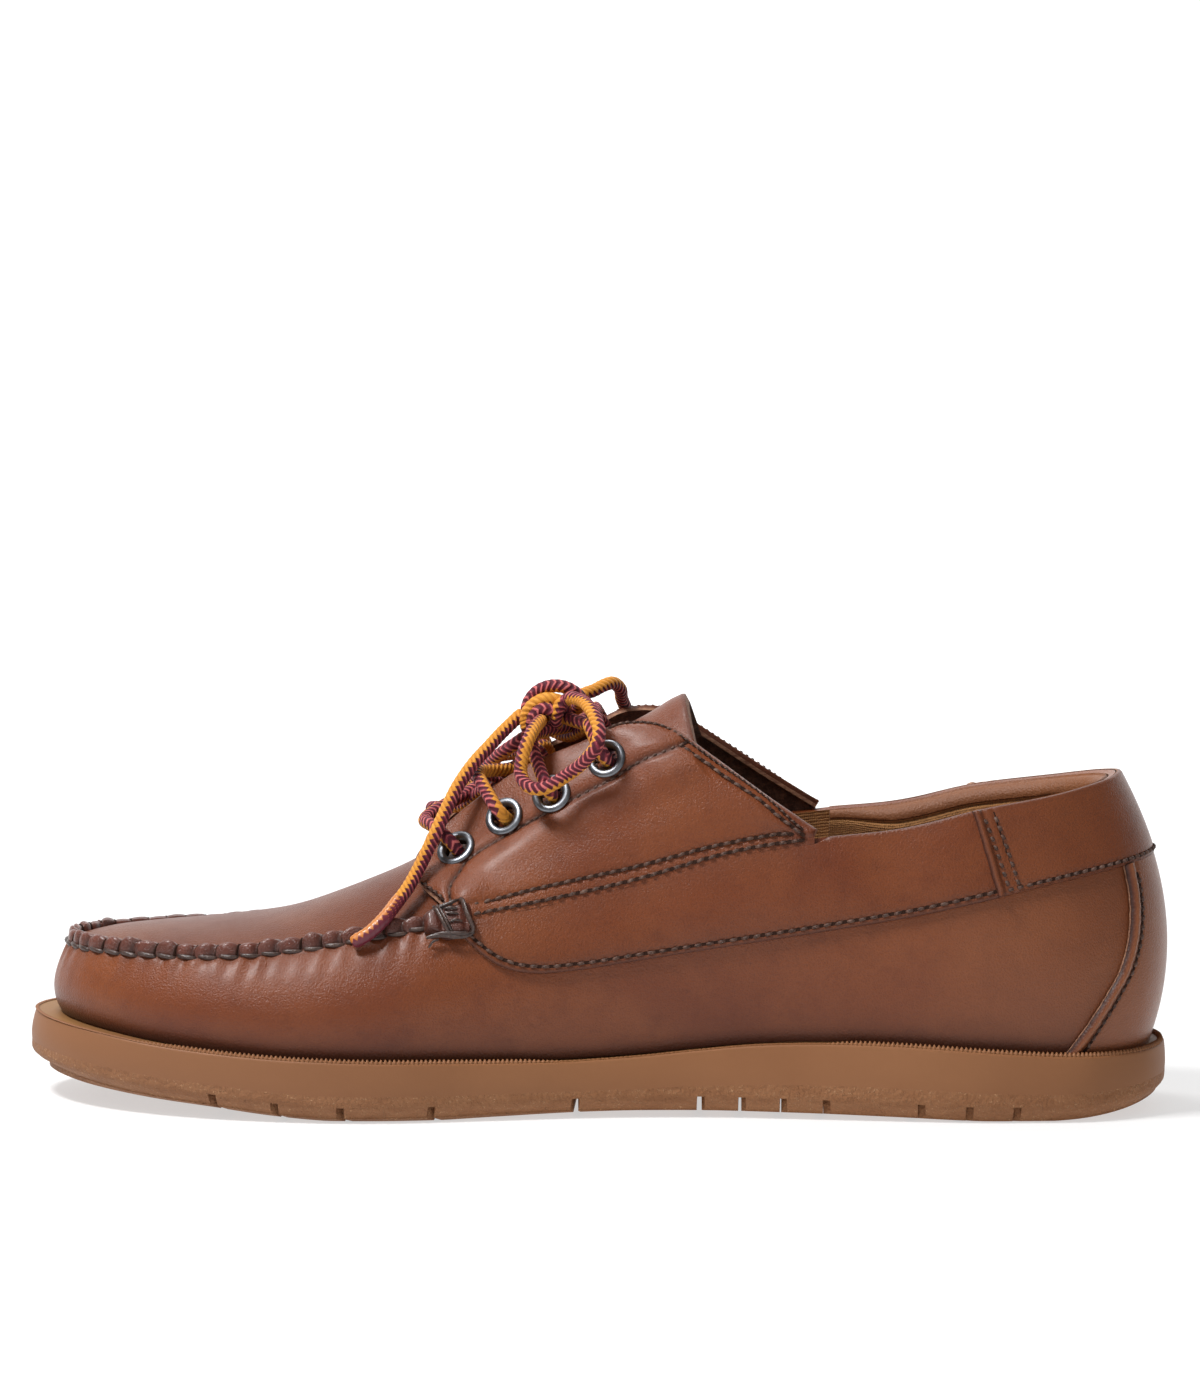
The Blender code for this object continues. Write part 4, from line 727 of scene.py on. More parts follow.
class Surface:
    """Points, faces and point attributes of one piece, gathered part by part."""

    def __init__(self):
        self.points, self.faces, self.skins, self.wear, self.lay = [], [], [], [], []
        self.count = 0

    def add(self, points, faces, wear=0.0, lay=0.0):
        """Adds points with faces, which are pairs of an array of corners and a finish's number."""
        for corners, skin in faces:
            self.faces.append(corners + self.count)
            self.skins.append(np.full(len(corners), skin))
        for store, value in ((self.points, points), (self.wear, wear), (self.lay, lay)):
            store.append(np.broadcast_to(value, points.shape).reshape(-1, 3))
        self.count += len(self.points[-1])
        return self

    def sheet(self, outer, inner, closed=False, keep=None, skins=(0, 2, 1), wear=0.0, lay=0.0):
        """A solid between two grids: outside, inside and the rim along every open edge."""
        rows, across = outer.shape[:2]
        size = rows * across
        quads = grid_quads(rows, across, wrap_rows=closed)
        if keep is not None:
            quads = quads[keep.ravel()]
        faces = ((quads, skins[0]), (quads[:, ::-1] + size, skins[1]),
                 (open_rim(quads, size), skins[2]))
        return self.add(np.stack((outer, inner)), faces, wear, lay)

    def tube(self, rings, skin=0, wear=0.0, lay=0.0):
        """Closed sections along a path, with both ends closed by a face."""
        count, sides = rings.shape[:2]
        faces = ((grid_quads(count, sides, wrap_across=True), skin), (end_caps(count, sides), skin))
        return self.add(rings, faces, wear, lay)

    def copies(self, tubes, skin=0):
        """Many small closed tubes of one kind: tubes is copies by rings by sides."""
        number, count, sides = tubes.shape[:3]
        step = (np.arange(number) * count * sides)[:, None, None]
        faces = [((part[None] + step).reshape(-1, part.shape[1]), skin)
                 for part in (grid_quads(count, sides, wrap_across=True), end_caps(count, sides))]
        return self.add(tubes, faces)

    def piece(self, name, finishes, slot, nodes=(), crease=50.0, weld=True):
        """The object: faces put in as arrays, doubles merged and every shell turned outwards."""
        mesh = bpy.data.meshes.new(name)
        sizes = np.concatenate([np.full(len(f), f.shape[1]) for f in self.faces])
        corners = np.concatenate([f.ravel() for f in self.faces])
        points = tidy(np.concatenate(self.points))
        mesh.vertices.add(len(points))
        mesh.vertices.foreach_set("co", points.astype(np.float32).ravel())
        mesh.loops.add(len(corners))
        mesh.loops.foreach_set("vertex_index", corners.astype(np.int32))
        mesh.polygons.add(len(sizes))
        starts = np.concatenate(([0], np.cumsum(sizes)[:-1]))
        mesh.polygons.foreach_set("loop_start", starts.astype(np.int32))
        mesh.polygons.foreach_set("material_index", np.concatenate(self.skins).astype(np.int32))
        for title, store in (("wear", self.wear), ("lay", self.lay)):
            layer = mesh.attributes.new(title, "FLOAT_VECTOR", "POINT")
            layer.data.foreach_set("vector", np.concatenate(store).astype(np.float32).ravel())
        mesh.update(calc_edges=True)
        mesh.validate()
        body = bmesh.new()
        body.from_mesh(mesh)
        if weld:
            bmesh.ops.remove_doubles(body, verts=body.verts, dist=1e-6)
        bmesh.ops.recalc_face_normals(body, faces=body.faces)
        body.to_mesh(mesh)
        body.free()
        mesh.shade_smooth()
        mesh.set_sharp_from_angle(angle=math.radians(crease))
        for finish in finishes:
            mesh.materials.append(finish)
        made = show(name, mesh)
        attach(made, "root")
        if nodes:
            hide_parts(*nodes)
        return made


def spread(count, bias=0.6):
    """Numbers from 0 to 1, closer together at both ends: a straight count mixed with a cosine."""
    f = np.linspace(0.0, 1.0, count)
    return (1 - bias) * f + bias * (0.5 - 0.5 * np.cos(math.pi * f))


def towards_ends(count):
    """Numbers from -1 to 1, closer together at both ends: the sine of a quarter turn each way."""
    return np.sin(np.linspace(-math.pi / 2, math.pi / 2, count))


def arc(line):
    """Length along a line of points, from 0 at its start."""
    return running(size_of(np.diff(line, axis=0)))


def read(line, length, at):
    """Points of a line, whose places along it are in length, read at the places in at."""
    return np.stack([np.interp(at, length, line[:, k]) for k in range(3)], axis=-1)


def rounded(distance, radius):
    """Quarter circle: 0 at an edge, 1 from radius inwards."""
    f = np.clip(1 - distance / radius, 0.0, 1.0)
    return np.sqrt(1 - f * f)


def hump(distance, width):
    """Bell curve of the distance: 1 on the line, and about a third at width."""
    return np.exp(-(distance / width)**2)


def resampled(line, step):
    """Smooth curve through the points of a line, with points a step apart."""
    line = np.asarray(line, dtype=float)
    knots = arc(line)
    dense = through(knots, line, np.linspace(0.0, knots[-1], 40 * len(line)))
    length = arc(dense)
    at = np.linspace(0.0, length[-1], max(int(round(length[-1] / step)), 4) + 1)
    return read(dense, length, at)


def turning_frames(line):
    """Two directions square to a line at each point, carried along it without twist."""
    way = unit(np.gradient(line, axis=0))
    side = np.empty_like(line)
    held = UP
    if abs(np.dot(held, way[0])) > 0.9:
        held = np.array((0.0, 1.0, 0.0))
    for k, forward in enumerate(way):
        held = held - forward * np.dot(held, forward)
        held = held / np.linalg.norm(held)
        side[k] = held
    return side, np.cross(way, side)


def lace_tube(surface, line, radius, looks, taper=0.0, skin=0):
    """Round braided lace along a line, with lay as cosine, sine and metres along.

    The pattern's angle starts where the stripe looks.  Braid: the radius rises by a twentieth
    with the sine of the way along plus the angle's size, which makes chevrons.
    """
    side, other = turning_frames(line)
    along = arc(line)
    looks = np.asarray(looks, dtype=float).reshape(-1, 3)
    share = np.linspace(0.0, 1.0, len(looks))
    look = read(looks, share, along / along[-1])
    start = np.arctan2(np.sum(look * other, axis=-1), np.sum(look * side, axis=-1))
    angle = turns(20)
    pattern = angle[None] - start[:, None]
    away = np.arccos(np.cos(pattern))
    braid = 0.030 * np.sin(math.pi * along[:, None] / BRAID + CHEVRON * away)
    end = np.minimum(along, along[-1] - along)
    size = radius * (1 - taper * (1 - rounded(end, radius)))[:, None] * (0.97 + braid)
    rings = line[:, None] + size[..., None] * hoop(side, other, angle)
    return surface.tube(rings, skin, lay=triples(np.cos(pattern), np.sin(pattern), along[:, None]))


def way_along(line, length, at):
    """Direction of a line at the places in at, from points a tenth of a millimetre apart."""
    ahead, behind = (
        read(line, length, np.clip(at + step, 0, length[-1])) for step in (1e-4, -1e-4))
    return unit(ahead - behind)


def stitch_count(length, pitch):
    """Whole number of stitches on a line whose places along it are in length."""
    return max(int(round(length[-1] / pitch)), 1)


def stitch_row(surface, line, out, pitch, thick, share=0.80, rise=0.5, slant=0.12, seed=0, skin=0):
    """Stitches along a line: small six-sided beads that bow out of the leather.

    Half length is share of the pitch, height over the line is rise of the thickness times one
    minus the square of the way along, and each is turned by slant with a little chance.
    """
    length = arc(line)
    number = stitch_count(length, pitch)
    step = length[-1] / number
    middle = (np.arange(number) + 0.5) * step
    chance = np.random.default_rng(SEED + seed)

    t = np.linspace(-1.0, 1.0, 5)
    half = step * share / 2
    at = np.clip(middle[:, None] + t[None] * half, 0.0, length[-1])
    centre = read(line, length, at)
    up = unit(read(out, length, at))
    across = np.cross(up, way_along(line, length, at))
    tilt = slant + 0.05 * chance.standard_normal(number)
    centre = centre + across * (t[None] * half * tilt[:, None])[..., None]
    size = thick / 2 * (1 - 0.45 * np.abs(t)**3)
    height = thick * (rise * (1 - t**2) - 0.42 * np.abs(t)**4)
    return surface.copies(
        centre[:, :, None] + hoop(across, up * 0.8, turns(6)) * size[:, None, None]
        + (up * height[:, None])[:, :, None], skin)


def stitch_holes(surface, line, out, pitch, radius, skin=1, depth=0.00012):
    """Needle holes between the stitches, near black with painted shade: low eight-sided cones,
    point down.
    """
    length = arc(line)
    number = stitch_count(length, pitch)
    at = np.linspace(0.0, length[-1], number + 1)
    up = unit(read(out, length, at))
    way = way_along(line, length, at)
    ring = hoop(way * 1.7, np.cross(up, way), turns(8)) * radius
    rim = up[:, None] * depth * 0.35 + ring
    foot = ring * 0.9 - up[:, None] * depth * 3
    return surface.copies(
        read(line, length, at)[:, None, None] + np.stack((rim, foot), axis=1), skin)


# ---- finishes

def sums(operation, swapped=False):
    """Method that adds a Math node, with its values swapped for the reflected form."""
    def method(self, other):
        return self.math(operation, *((other, self) if swapped else (self, other)))
    return method


class Link:
    """A socket that can be used in Python sums, each of which adds its Math node."""

    def __init__(self, graph, socket):
        self.graph, self.socket = graph, socket

    def math(self, operation, *values):
        return self.graph.node("ShaderNodeMath", {"operation": operation}, dict(enumerate(values)))

    __add__, __radd__ = sums("ADD"), sums("ADD", True)
    __sub__, __rsub__ = sums("SUBTRACT"), sums("SUBTRACT", True)
    __mul__, __rmul__ = sums("MULTIPLY"), sums("MULTIPLY", True)
    __truediv__, __gt__ = sums("DIVIDE"), sums("GREATER_THAN")

    def power(self, other):
        return self.math("POWER", self, other)

    def zigzag(self, scale):
        return self.math("PINGPONG", self, scale)

    def wave(self):
        return self.math("SINE", self)

    def step(self, low, high):
        """Soft step from 0 at low to 1 at high."""
        return self.graph.node(
            "ShaderNodeMapRange", {"interpolation_type": "SMOOTHSTEP"},
            {"Value": self, "From Min": low, "From Max": high, "To Min": 0.0, "To Max": 1.0})

    def output(self, name):
        """Another output of the same node."""
        return Link(self.graph, self.socket.node.outputs[name])


class Finish:
    """One material and the nodes of its look."""

    def __init__(self, name):
        self.material = bpy.data.materials.new(name)
        self.material.use_nodes = True
        self.tree = self.material.node_tree
        self.shader = self.tree.nodes["Principled BSDF"]

    def node(self, kind, settings, values, output=0):
        """A node of this kind: its settings first, then the values or links of its sockets."""
        made = self.tree.nodes.new(kind)
        for name, value in settings.items():
            if name == "stops":
                for stop, (place, colour) in zip(made.color_ramp.elements, value):
                    stop.position, stop.color = place, (*colour, 1.0)
                for place, colour in value[2:]:
                    made.color_ramp.elements.new(place).color = (*colour, 1.0)
            else:
                setattr(made, name, value)
        for name, value in values.items():
            self.set(made.inputs[name], value)
        return Link(self, made.outputs[output])

    def set(self, socket, value):
        """A link or a plain value on a socket."""
        if isinstance(value, Link):
            self.tree.links.new(value.socket, socket)
        elif socket.type == "RGBA" and len(value) == 3:
            socket.default_value = (*value, 1.0)
        else:
            socket.default_value = value

    def place(self):
        return self.node("ShaderNodeTexCoord", {}, {}, "Object")

    def parts(self, vector):
        """The three numbers of a vector."""
        parts = self.node("ShaderNodeSeparateXYZ", {}, {0: vector})
        return parts, parts.output(1), parts.output(2)

    def marks(self, name):
        """The three numbers of a point attribute."""
        return self.parts(self.node("ShaderNodeAttribute", {"attribute_name": name}, {}, "Vector"))

    def noise(self, scale, detail=2.0, roughness=0.5, where=None, warp=0.0):
        return self.node("ShaderNodeTexNoise", {}, {
            "Vector": where or self.place(), "Scale": scale, "Detail": detail,
            "Roughness": roughness, "Distortion": warp})

    def cells(self, scale, where=None, feature="F1"):
        return self.node("ShaderNodeTexVoronoi", {"feature": feature}, {
            "Vector": where or self.place(), "Scale": scale}, "Distance")

    def stretched(self, scale, turn=(0.0, 0.0, 0.0)):
        return self.node("ShaderNodeMapping", {}, {
            "Vector": self.place(), "Scale": scale, "Rotation": turn})

    def mix(self, factor, first, second, blend="MIX"):
        return self.node("ShaderNodeMix", {"data_type": "RGBA", "blend_type": blend},
                         {0: factor, 6: first, 7: second}, 2)

    def bump(self, height, distance, strength=1.0, normal=None):
        values = {"Height": height, "Distance": distance, "Strength": strength}
        if normal is not None:
            values["Normal"] = normal
        return self.node("ShaderNodeBump", {}, values)

    def done(self, **values):
        """Values and links on the shader's sockets, with spaces as underscores."""
        for name, value in values.items():
            self.set(self.shader.inputs[name.replace("_", " ")], value)
        return self.material


def leather_finish(name, stops, gloss, coat=0.12, grain=1.0, shine=0.27):
    """Polished full-grain leather: clouded brown with pores and fine creases.

    Its point attribute holds, for each point, painted shade with some dark tone, pale tan with a
    painted highlight, and how creased it is.
    """
    f = Finish(name)
    shade_and_dark_tone, tan_and_highlight, creased = f.marks("wear")
    cloud = f.noise(26.0, 3.0, 0.5, warp=0.4).step(0.25, 0.78)
    mottle = f.noise(160.0, 4.0, 0.6)
    pull = f.noise(1.0, 3.0, 0.55, where=f.stretched((260.0, 260.0, 900.0)))
    fine = f.noise(2100.0, 3.0, 0.7)
    pores = f.cells(1800.0)
    colour = f.mix(cloud, stops[0], stops[1])
    colour = f.mix(mottle.step(0.45, 0.80) * 0.35, colour, stops[2])
    colour = f.mix(pores.step(0.55, 0.20) * 0.16 + pull.step(0.5, 0.8) * 0.12, colour, PORE_AND_SHADE_BROWN)
    # Pale tan, in places a painted highlight, then dark brown, mostly painted shade, mixed in where
    # the point attribute asks.
    colour = f.mix(tan_and_highlight, colour, TAN)
    colour = f.mix(shade_and_dark_tone, colour, PORE_AND_SHADE_BROWN)
    height = fine * 1.1 + pores * 1.0 + pull * 0.16 + creased * (fine * 1.3 + pull * 0.4)
    return f.done(
        Base_Color=colour,
        Roughness=gloss + (mottle - 0.5) * 0.10 + fine * 0.06 + shade_and_dark_tone * 0.10 + creased * 0.06,
        Specular_IOR_Level=shine, Coat_Weight=coat, Coat_Roughness=0.26, Coat_IOR=1.45,
        Normal=f.bump(height, 0.00012 * grain, 0.85))


def raw_edge_finish():
    """Cut edge of leather: fibres in fine layers along it, dark with paler streaks."""
    f = Finish("cut_leather_edge")
    layers = f.noise(1.0, 3.0, 0.6, where=f.stretched((300.0, 300.0, 1500.0)))
    fleck = f.noise(900.0, 3.0, 0.6)
    return f.done(
        Base_Color=f.mix((layers * 0.6 + fleck * 0.5).step(0.35, 0.85),
                         (0.150, 0.062, 0.036), (0.420, 0.220, 0.130)),
        Roughness=0.72, Specular_IOR_Level=0.35,
        Normal=f.bump(layers + fleck * 0.6, 0.00018, 0.8))


def suede_finish():
    """Flesh side of the leather: dark brown, rough and napped."""
    f = Finish("dark_flesh_side")
    nap = f.noise(420.0, 5.0, 0.7)
    tufts = f.noise(1500.0, 3.0, 0.7)
    return f.done(
        Base_Color=f.mix(nap.step(0.35, 0.8), (0.060, 0.028, 0.020), (0.205, 0.100, 0.064)),
        Roughness=0.92, Specular_IOR_Level=0.2, Sheen_Weight=0.15,
        Normal=f.bump(nap + tufts * 0.6, 0.0004, 0.9))


def lining_finish():
    """Ribbed brown textile: ribs along lay's second number, crossed by fine threads."""
    f = Finish("ribbed_lining")
    along, down, _ = f.marks("lay")
    fuzz = f.noise(1400.0, 3.0, 0.7)
    ribs = (down * (math.pi / 0.00085) + fuzz * 2.2).wave().power(2.0)
    threads = (along * (math.pi / 0.0006) + fuzz * 2.5).wave().power(2.0)
    weave = ribs * 0.30 + threads * 0.15 + fuzz * 0.55
    tone = f.noise(60.0, 3.0).step(0.3, 0.8)
    low = f.mix(tone, (0.200, 0.082, 0.028), (0.260, 0.112, 0.038))
    high = f.mix(tone, (0.460, 0.210, 0.070), (0.580, 0.290, 0.110))
    return f.done(
        Base_Color=f.mix(weave.step(0.1, 0.9), low, high), Roughness=0.9,
        Specular_IOR_Level=0.2, Sheen_Weight=0.25,
        Normal=f.bump(weave + fuzz * 0.5, 0.0005, 0.9))


def thread_finish(name, dark):
    """Waxed brown thread: fine twist and a dull shine, dark from 0 to 1."""
    f = Finish(name)
    strand = f.noise(1.0, 2.0, 0.6, where=f.stretched((1500.0, 900.0, 2600.0), (0.4, 0.5, 0.3)))
    patch = f.noise(260.0, 2.0)
    # Light and dark streaks along the twist are painted highlight and shade; the pale patches are
    # painted glints.
    colour = f.mix(strand.step(0.3, 0.7), (0.028, 0.013, 0.009), (0.120, 0.060, 0.042))
    colour = f.mix(patch.step(0.45, 0.8) * 0.4, colour, (0.215, 0.128, 0.094))
    # Mixing towards near black by dark is painted shade: a darker copy for thread that the lamps
    # above light too much.
    return f.done(
        Base_Color=f.mix(dark, colour, (0.016, 0.009, 0.008)),
        Roughness=0.56 - dark * 0.4, Specular_IOR_Level=0.32 + dark * 0.4,
        Normal=f.bump(strand, 0.00018, 0.9))


def hole_shade_finish():
    """Near black brown with the leather's fibres: painted shade inside needle holes and eyelet
    barrels, and on the raised seam's wraps.
    """
    f = Finish("painted_hole_shade")
    fibres = f.noise(2200.0, 2.0)
    return f.done(
        Base_Color=f.mix(fibres, (0.010, 0.005, 0.004), (0.045, 0.018, 0.010)),
        Roughness=0.85, Specular_IOR_Level=0.15, Normal=f.bump(fibres, 0.0001, 0.6))


def lace_finish():
    """Braided lace: a toothed maroon stripe on gold, and the braid's small slanted bumps.

    The stripe is where the cosine in lay is over an edge that a zigzag along the lace moves.
    """
    f = Finish("braided_lace")
    cosine, _, along = f.marks("lay")
    fuzz = f.noise(2600.0, 2.0, 0.7)
    tooth = (along + fuzz * 0.0002).zigzag(BRAID) / BRAID
    stripe = (cosine + fuzz * 0.12 - tooth * 0.62 - 0.02).step(-0.05, 0.06)
    away = cosine.math("ARCCOSINE", cosine)
    bumps = (along * (math.pi / BRAID) + away * CHEVRON).wave() * 0.5 + 0.5
    patch = f.noise(420.0, 3.0)
    gold = f.mix(patch, (0.560, 0.215, 0.022), (0.760, 0.330, 0.042))
    # Painted shade in the low parts of the braid, on the gold and on the maroon, and painted pink
    # highlights on the maroon's high bumps.
    gold = f.mix(bumps.step(0.30, 0.0) * 0.45, gold, (0.300, 0.085, 0.012))
    maroon = f.mix(bumps.step(0.20, 0.9), (0.075, 0.009, 0.019), (0.205, 0.022, 0.040))
    pink_highlight = f.mix((bumps * (patch + fuzz * 0.4)).step(0.50, 0.70) * 0.8, maroon,
                  (0.620, 0.160, 0.150))
    colour = f.mix(stripe, gold, pink_highlight)
    return f.done(
        Base_Color=colour, Roughness=0.66 - bumps * 0.12, Specular_IOR_Level=0.24,
        Sheen_Weight=0.05, Normal=f.bump(bumps + fuzz * 0.5, 0.00026, 0.9))


def tip_finish():
    """End of a lace in a clear heat-shrunk sleeve: the braid's colours, darker and glossy."""
    f = Finish("lace_tip")
    cosine, _, along = f.marks("lay")
    tooth = along.zigzag(BRAID) / BRAID
    stripe = (cosine - tooth * 0.6 + 0.2).step(-0.15, 0.15)
    film = f.noise(1.0, 2.0, where=f.stretched((400.0, 400.0, 900.0)))
    gold = f.mix(film, (0.42, 0.12, 0.02), (0.58, 0.21, 0.03))
    return f.done(
        Base_Color=f.mix(stripe, gold, (0.13, 0.016, 0.030)),
        Roughness=0.34 + film * 0.20, Specular_IOR_Level=0.4, Coat_Weight=0.2,
        Coat_Roughness=0.12, Normal=f.bump(film, 0.0001, 0.5))


def rubber_finish(name, stippled):
    """Gum rubber: orange brown with soft clouds, and a pebbled, paler band where stippled."""
    f = Finish(name)
    haze = f.noise(22.0, 3.0, 0.5).step(0.25, 0.8)
    speck = f.noise(1900.0, 3.0, 0.7)
    toe = f.parts(f.place())[0].step(-0.02, 0.15)
    colour = f.mix(haze, (0.240, 0.098, 0.038), (0.285, 0.122, 0.050))
    # Darker towards the toe: painted shade against the lamp that lights the toe most.
    colour = f.mix(toe * 0.8, colour, (0.225, 0.098, 0.044))
    colour = f.mix(f.marks("wear")[0] * haze, colour, (0.255, 0.125, 0.040))
    if stippled:
        pebbles = f.cells(900.0)
        bloom = f.noise(1.0, 4.0, 0.65, where=f.stretched((140.0, 140.0, 420.0))).step(0.38, 0.60)
        grit = f.noise(1300.0, 2.0, 0.8).step(0.55, 0.72)
        colour = f.mix(pebbles.step(0.25, 0.75) * 0.15, colour, (0.200, 0.085, 0.038))
        colour = f.mix(bloom * 0.08 + bloom * grit * 0.75, colour, (0.560, 0.300, 0.150))
        return f.done(Base_Color=colour, Roughness=0.66, Specular_IOR_Level=0.30,
                      Normal=f.bump(speck * 0.7 - pebbles + grit * 0.6, 0.00030, 0.9))
    return f.done(
        Base_Color=f.mix(speck.step(0.55, 0.9) * 0.22, colour, (0.235, 0.100, 0.045)),
        Roughness=0.50 + speck * 0.10, Specular_IOR_Level=0.30,
        Normal=f.bump(speck + f.noise(180.0, 2.0) * 0.8, 0.00007, 0.6))


def metal_finish():
    """Dark nickel: bright, with faint turning marks and a little tarnish."""
    f = Finish("dark_nickel")
    tarnish = f.noise(380.0, 4.0, 0.65)
    marks = f.noise(2400.0, 2.0)
    return f.done(
        Base_Color=f.mix(tarnish.step(0.4, 0.75), (0.200, 0.210, 0.230), (0.095, 0.10, 0.11)),
        Metallic=1.0, Roughness=0.30 + tarnish * 0.10, Normal=f.bump(marks, 0.000006, 0.4))


def insole_finish():
    """Sock: smooth tan leather with pores and a soft cloudy tone."""
    f = Finish("sock_leather")
    pores = f.cells(1200.0)
    soft = f.noise(30.0, 3.0).step(0.3, 0.75)
    colour = f.mix(soft, (0.27, 0.135, 0.060), (0.36, 0.19, 0.09))
    return f.done(
        Base_Color=f.mix(pores.step(0.0, 0.2), (0.14, 0.065, 0.03), colour),
        Roughness=0.55, Normal=f.bump(pores, 0.00008, 0.6))


def floor_finish():
    """Pale matt floor with a faint tone, which glows where it is behind the shoe."""
    f = Finish("pale_floor")
    tone = f.noise(2.0, 2.0)
    back = f.parts(f.place())[1]
    glow = f.mix(back.step(-0.15, -1.0), (0.55, 0.55, 0.55), (1.0, 1.0, 1.0))
    return f.done(Base_Color=f.mix(tone, (0.44, 0.44, 0.44), (0.46, 0.46, 0.46)), Roughness=0.9,
                  Specular_IOR_Level=0.1, Emission_Color=glow, Emission_Strength=1.0)


# ---- places on the shoe

SEAM_START = place_of_x(SEAM_BACK_X * MM, 1)
SEAM_U = np.linspace(SEAM_START, 1 - SEAM_START, 1200)
SEAM_ARC = arc(wall(SEAM_U, 1.0))
STITCHES = int(round(SEAM_ARC[-1] / BEAD_PITCH))


def wall_height(u):
    """Height of the wall from the sole to its top line."""
    return wall(u, 1.0)[..., 2] - wall(u, 0.0)[..., 2]


def seam_phase(u):
    """Number of the stitch at each place on the seam round the plug: its arc over the pitch."""
    return np.interp(np.minimum(u, 1.0), SEAM_U, SEAM_ARC) * STITCHES / SEAM_ARC[-1]


def place_of_stitch(number):
    """Place on the seam round the plug of a number of stitches from its start."""
    return np.interp(number, SEAM_ARC * STITCHES / SEAM_ARC[-1], SEAM_U)


def far_side(u):
    """0 on the medial side and 1 on the lateral side, with a soft step past the toe."""
    return ramp(u, 0.505, 0.56)


def squarer(cosine):
    """Cosine of a squarer section: the same sign, and its size to a power under one."""
    return np.sign(cosine) * np.abs(cosine)**0.72


def on_seam(u):
    """1 along the seam round the plug and 0 behind it, with soft ends."""
    return ramp(u, SEAM_START - 0.004, SEAM_START + 0.004) * (
        1 - ramp(u, 0.996 - SEAM_START, 1.004 - SEAM_START))


def fine_columns(fine, coarse):
    """Places round the shoe, fine apart along the plug's seam and coarse apart behind it."""
    u = np.linspace(0.0, 1.0, 3001)
    steps = np.diff(arc(wall(u, 1.0)))
    middle = (u[1:] + u[:-1]) / 2
    wanted = steps / (coarse + (fine - coarse) * on_seam(middle))
    count = running(wanted)
    number = int(round(count[-1]))
    return np.interp(np.arange(number) * count[-1] / number, count, u)


def normal_line(surface, a, b, lift):
    """Points of a line on a surface and the direction out of it: the step from a lower line."""
    line = surface(a, b, lift)
    return line, unit(line - surface(a, b, lift - 0.0005))


def soft_waves(points, size, phases=(0.0, 1.7, 3.1)):
    """Gentle dents: three crossed sine waves of the point's place, size apart."""
    x, y, z = (points[..., k] * 2 * math.pi / size for k in range(3))
    return (np.sin(x + 0.7 * z + phases[0]) * np.sin(0.8 * z - 0.5 * x + phases[1])
            + 0.5 * np.sin(1.9 * x - 1.3 * z + 0.6 * y + phases[2]))


# ---- laces

TIP = 0.020  # heat-shrunk end of a lace


def make_free_laces(colours):
    """Loops and ends of the bow: round tubes along smooth curves through their routes."""
    for name, looks in STRIPES.items():
        far_end = "fitting" if name.startswith("lace_end") else "object"
        line = resampled(np.array(LACE_ROUTES[name]) * MM, 0.0003)
        made = lace_tube(Surface(), line, LACE / 2, looks, taper=0.35)
        made = made.piece(name + "_braid", colours, "lace", (name,))
        if far_end == "fitting":
            length = arc(line)
            last = line[length > length[-1] - TIP]
            tip = lace_tube(
                Surface(), last + unit(last[-1:] - last[-2:-1]) * 0.0001, LACE / 2 * 1.05,
                looks[-1], taper=0.45)
            tip.piece(name + "_tip", [tip_finish()], "lace")


def make_lacing(colours):
    """Laces in the eyelets, one tube for each half, along smooth curves through its route."""
    made = Surface()
    for side, looks in LACING_STRIPES:
        lace_tube(made, resampled(lace_route(side), 0.0004), LACE / 2, looks)
    made.piece("lace_crossings_braid", colours, "lace", ("lace_crossings",))


def make_knot(colours):
    """Knot: closed turns of the lace, smooth curves through their places, round a dark core."""
    middle, half = np.array(KNOT) * MM
    made = Surface()
    for places, looks in KNOT_TURNS:
        places = np.array(places) * MM
        ring = resampled(np.concatenate((places, places[:1], places[1:2])), 0.0004)
        lace_tube(made, ring, LACE / 2, looks)
    rows, across = grid_of(np.linspace(0, math.pi, 12), np.linspace(0, 2 * math.pi, 20))
    ball = triples(np.sin(rows) * np.cos(across), np.sin(rows) * np.sin(across), np.cos(rows))
    made.add(middle + ball * half * KNOT_CORE, [(grid_quads(12, 20), 0)], lay=(1.0, 0.0, 0.0))
    made.piece("lace_knot_turns", colours, "lace", ("lace_knot",))


# ---- sole

def drawn_in(ring, share):
    """A closed ring in plan, drawn in to a share of its distance from the middle line."""
    middle = (ring + np.concatenate((ring[:1], ring[:0:-1]))) / 2
    return middle + (ring - middle) * share


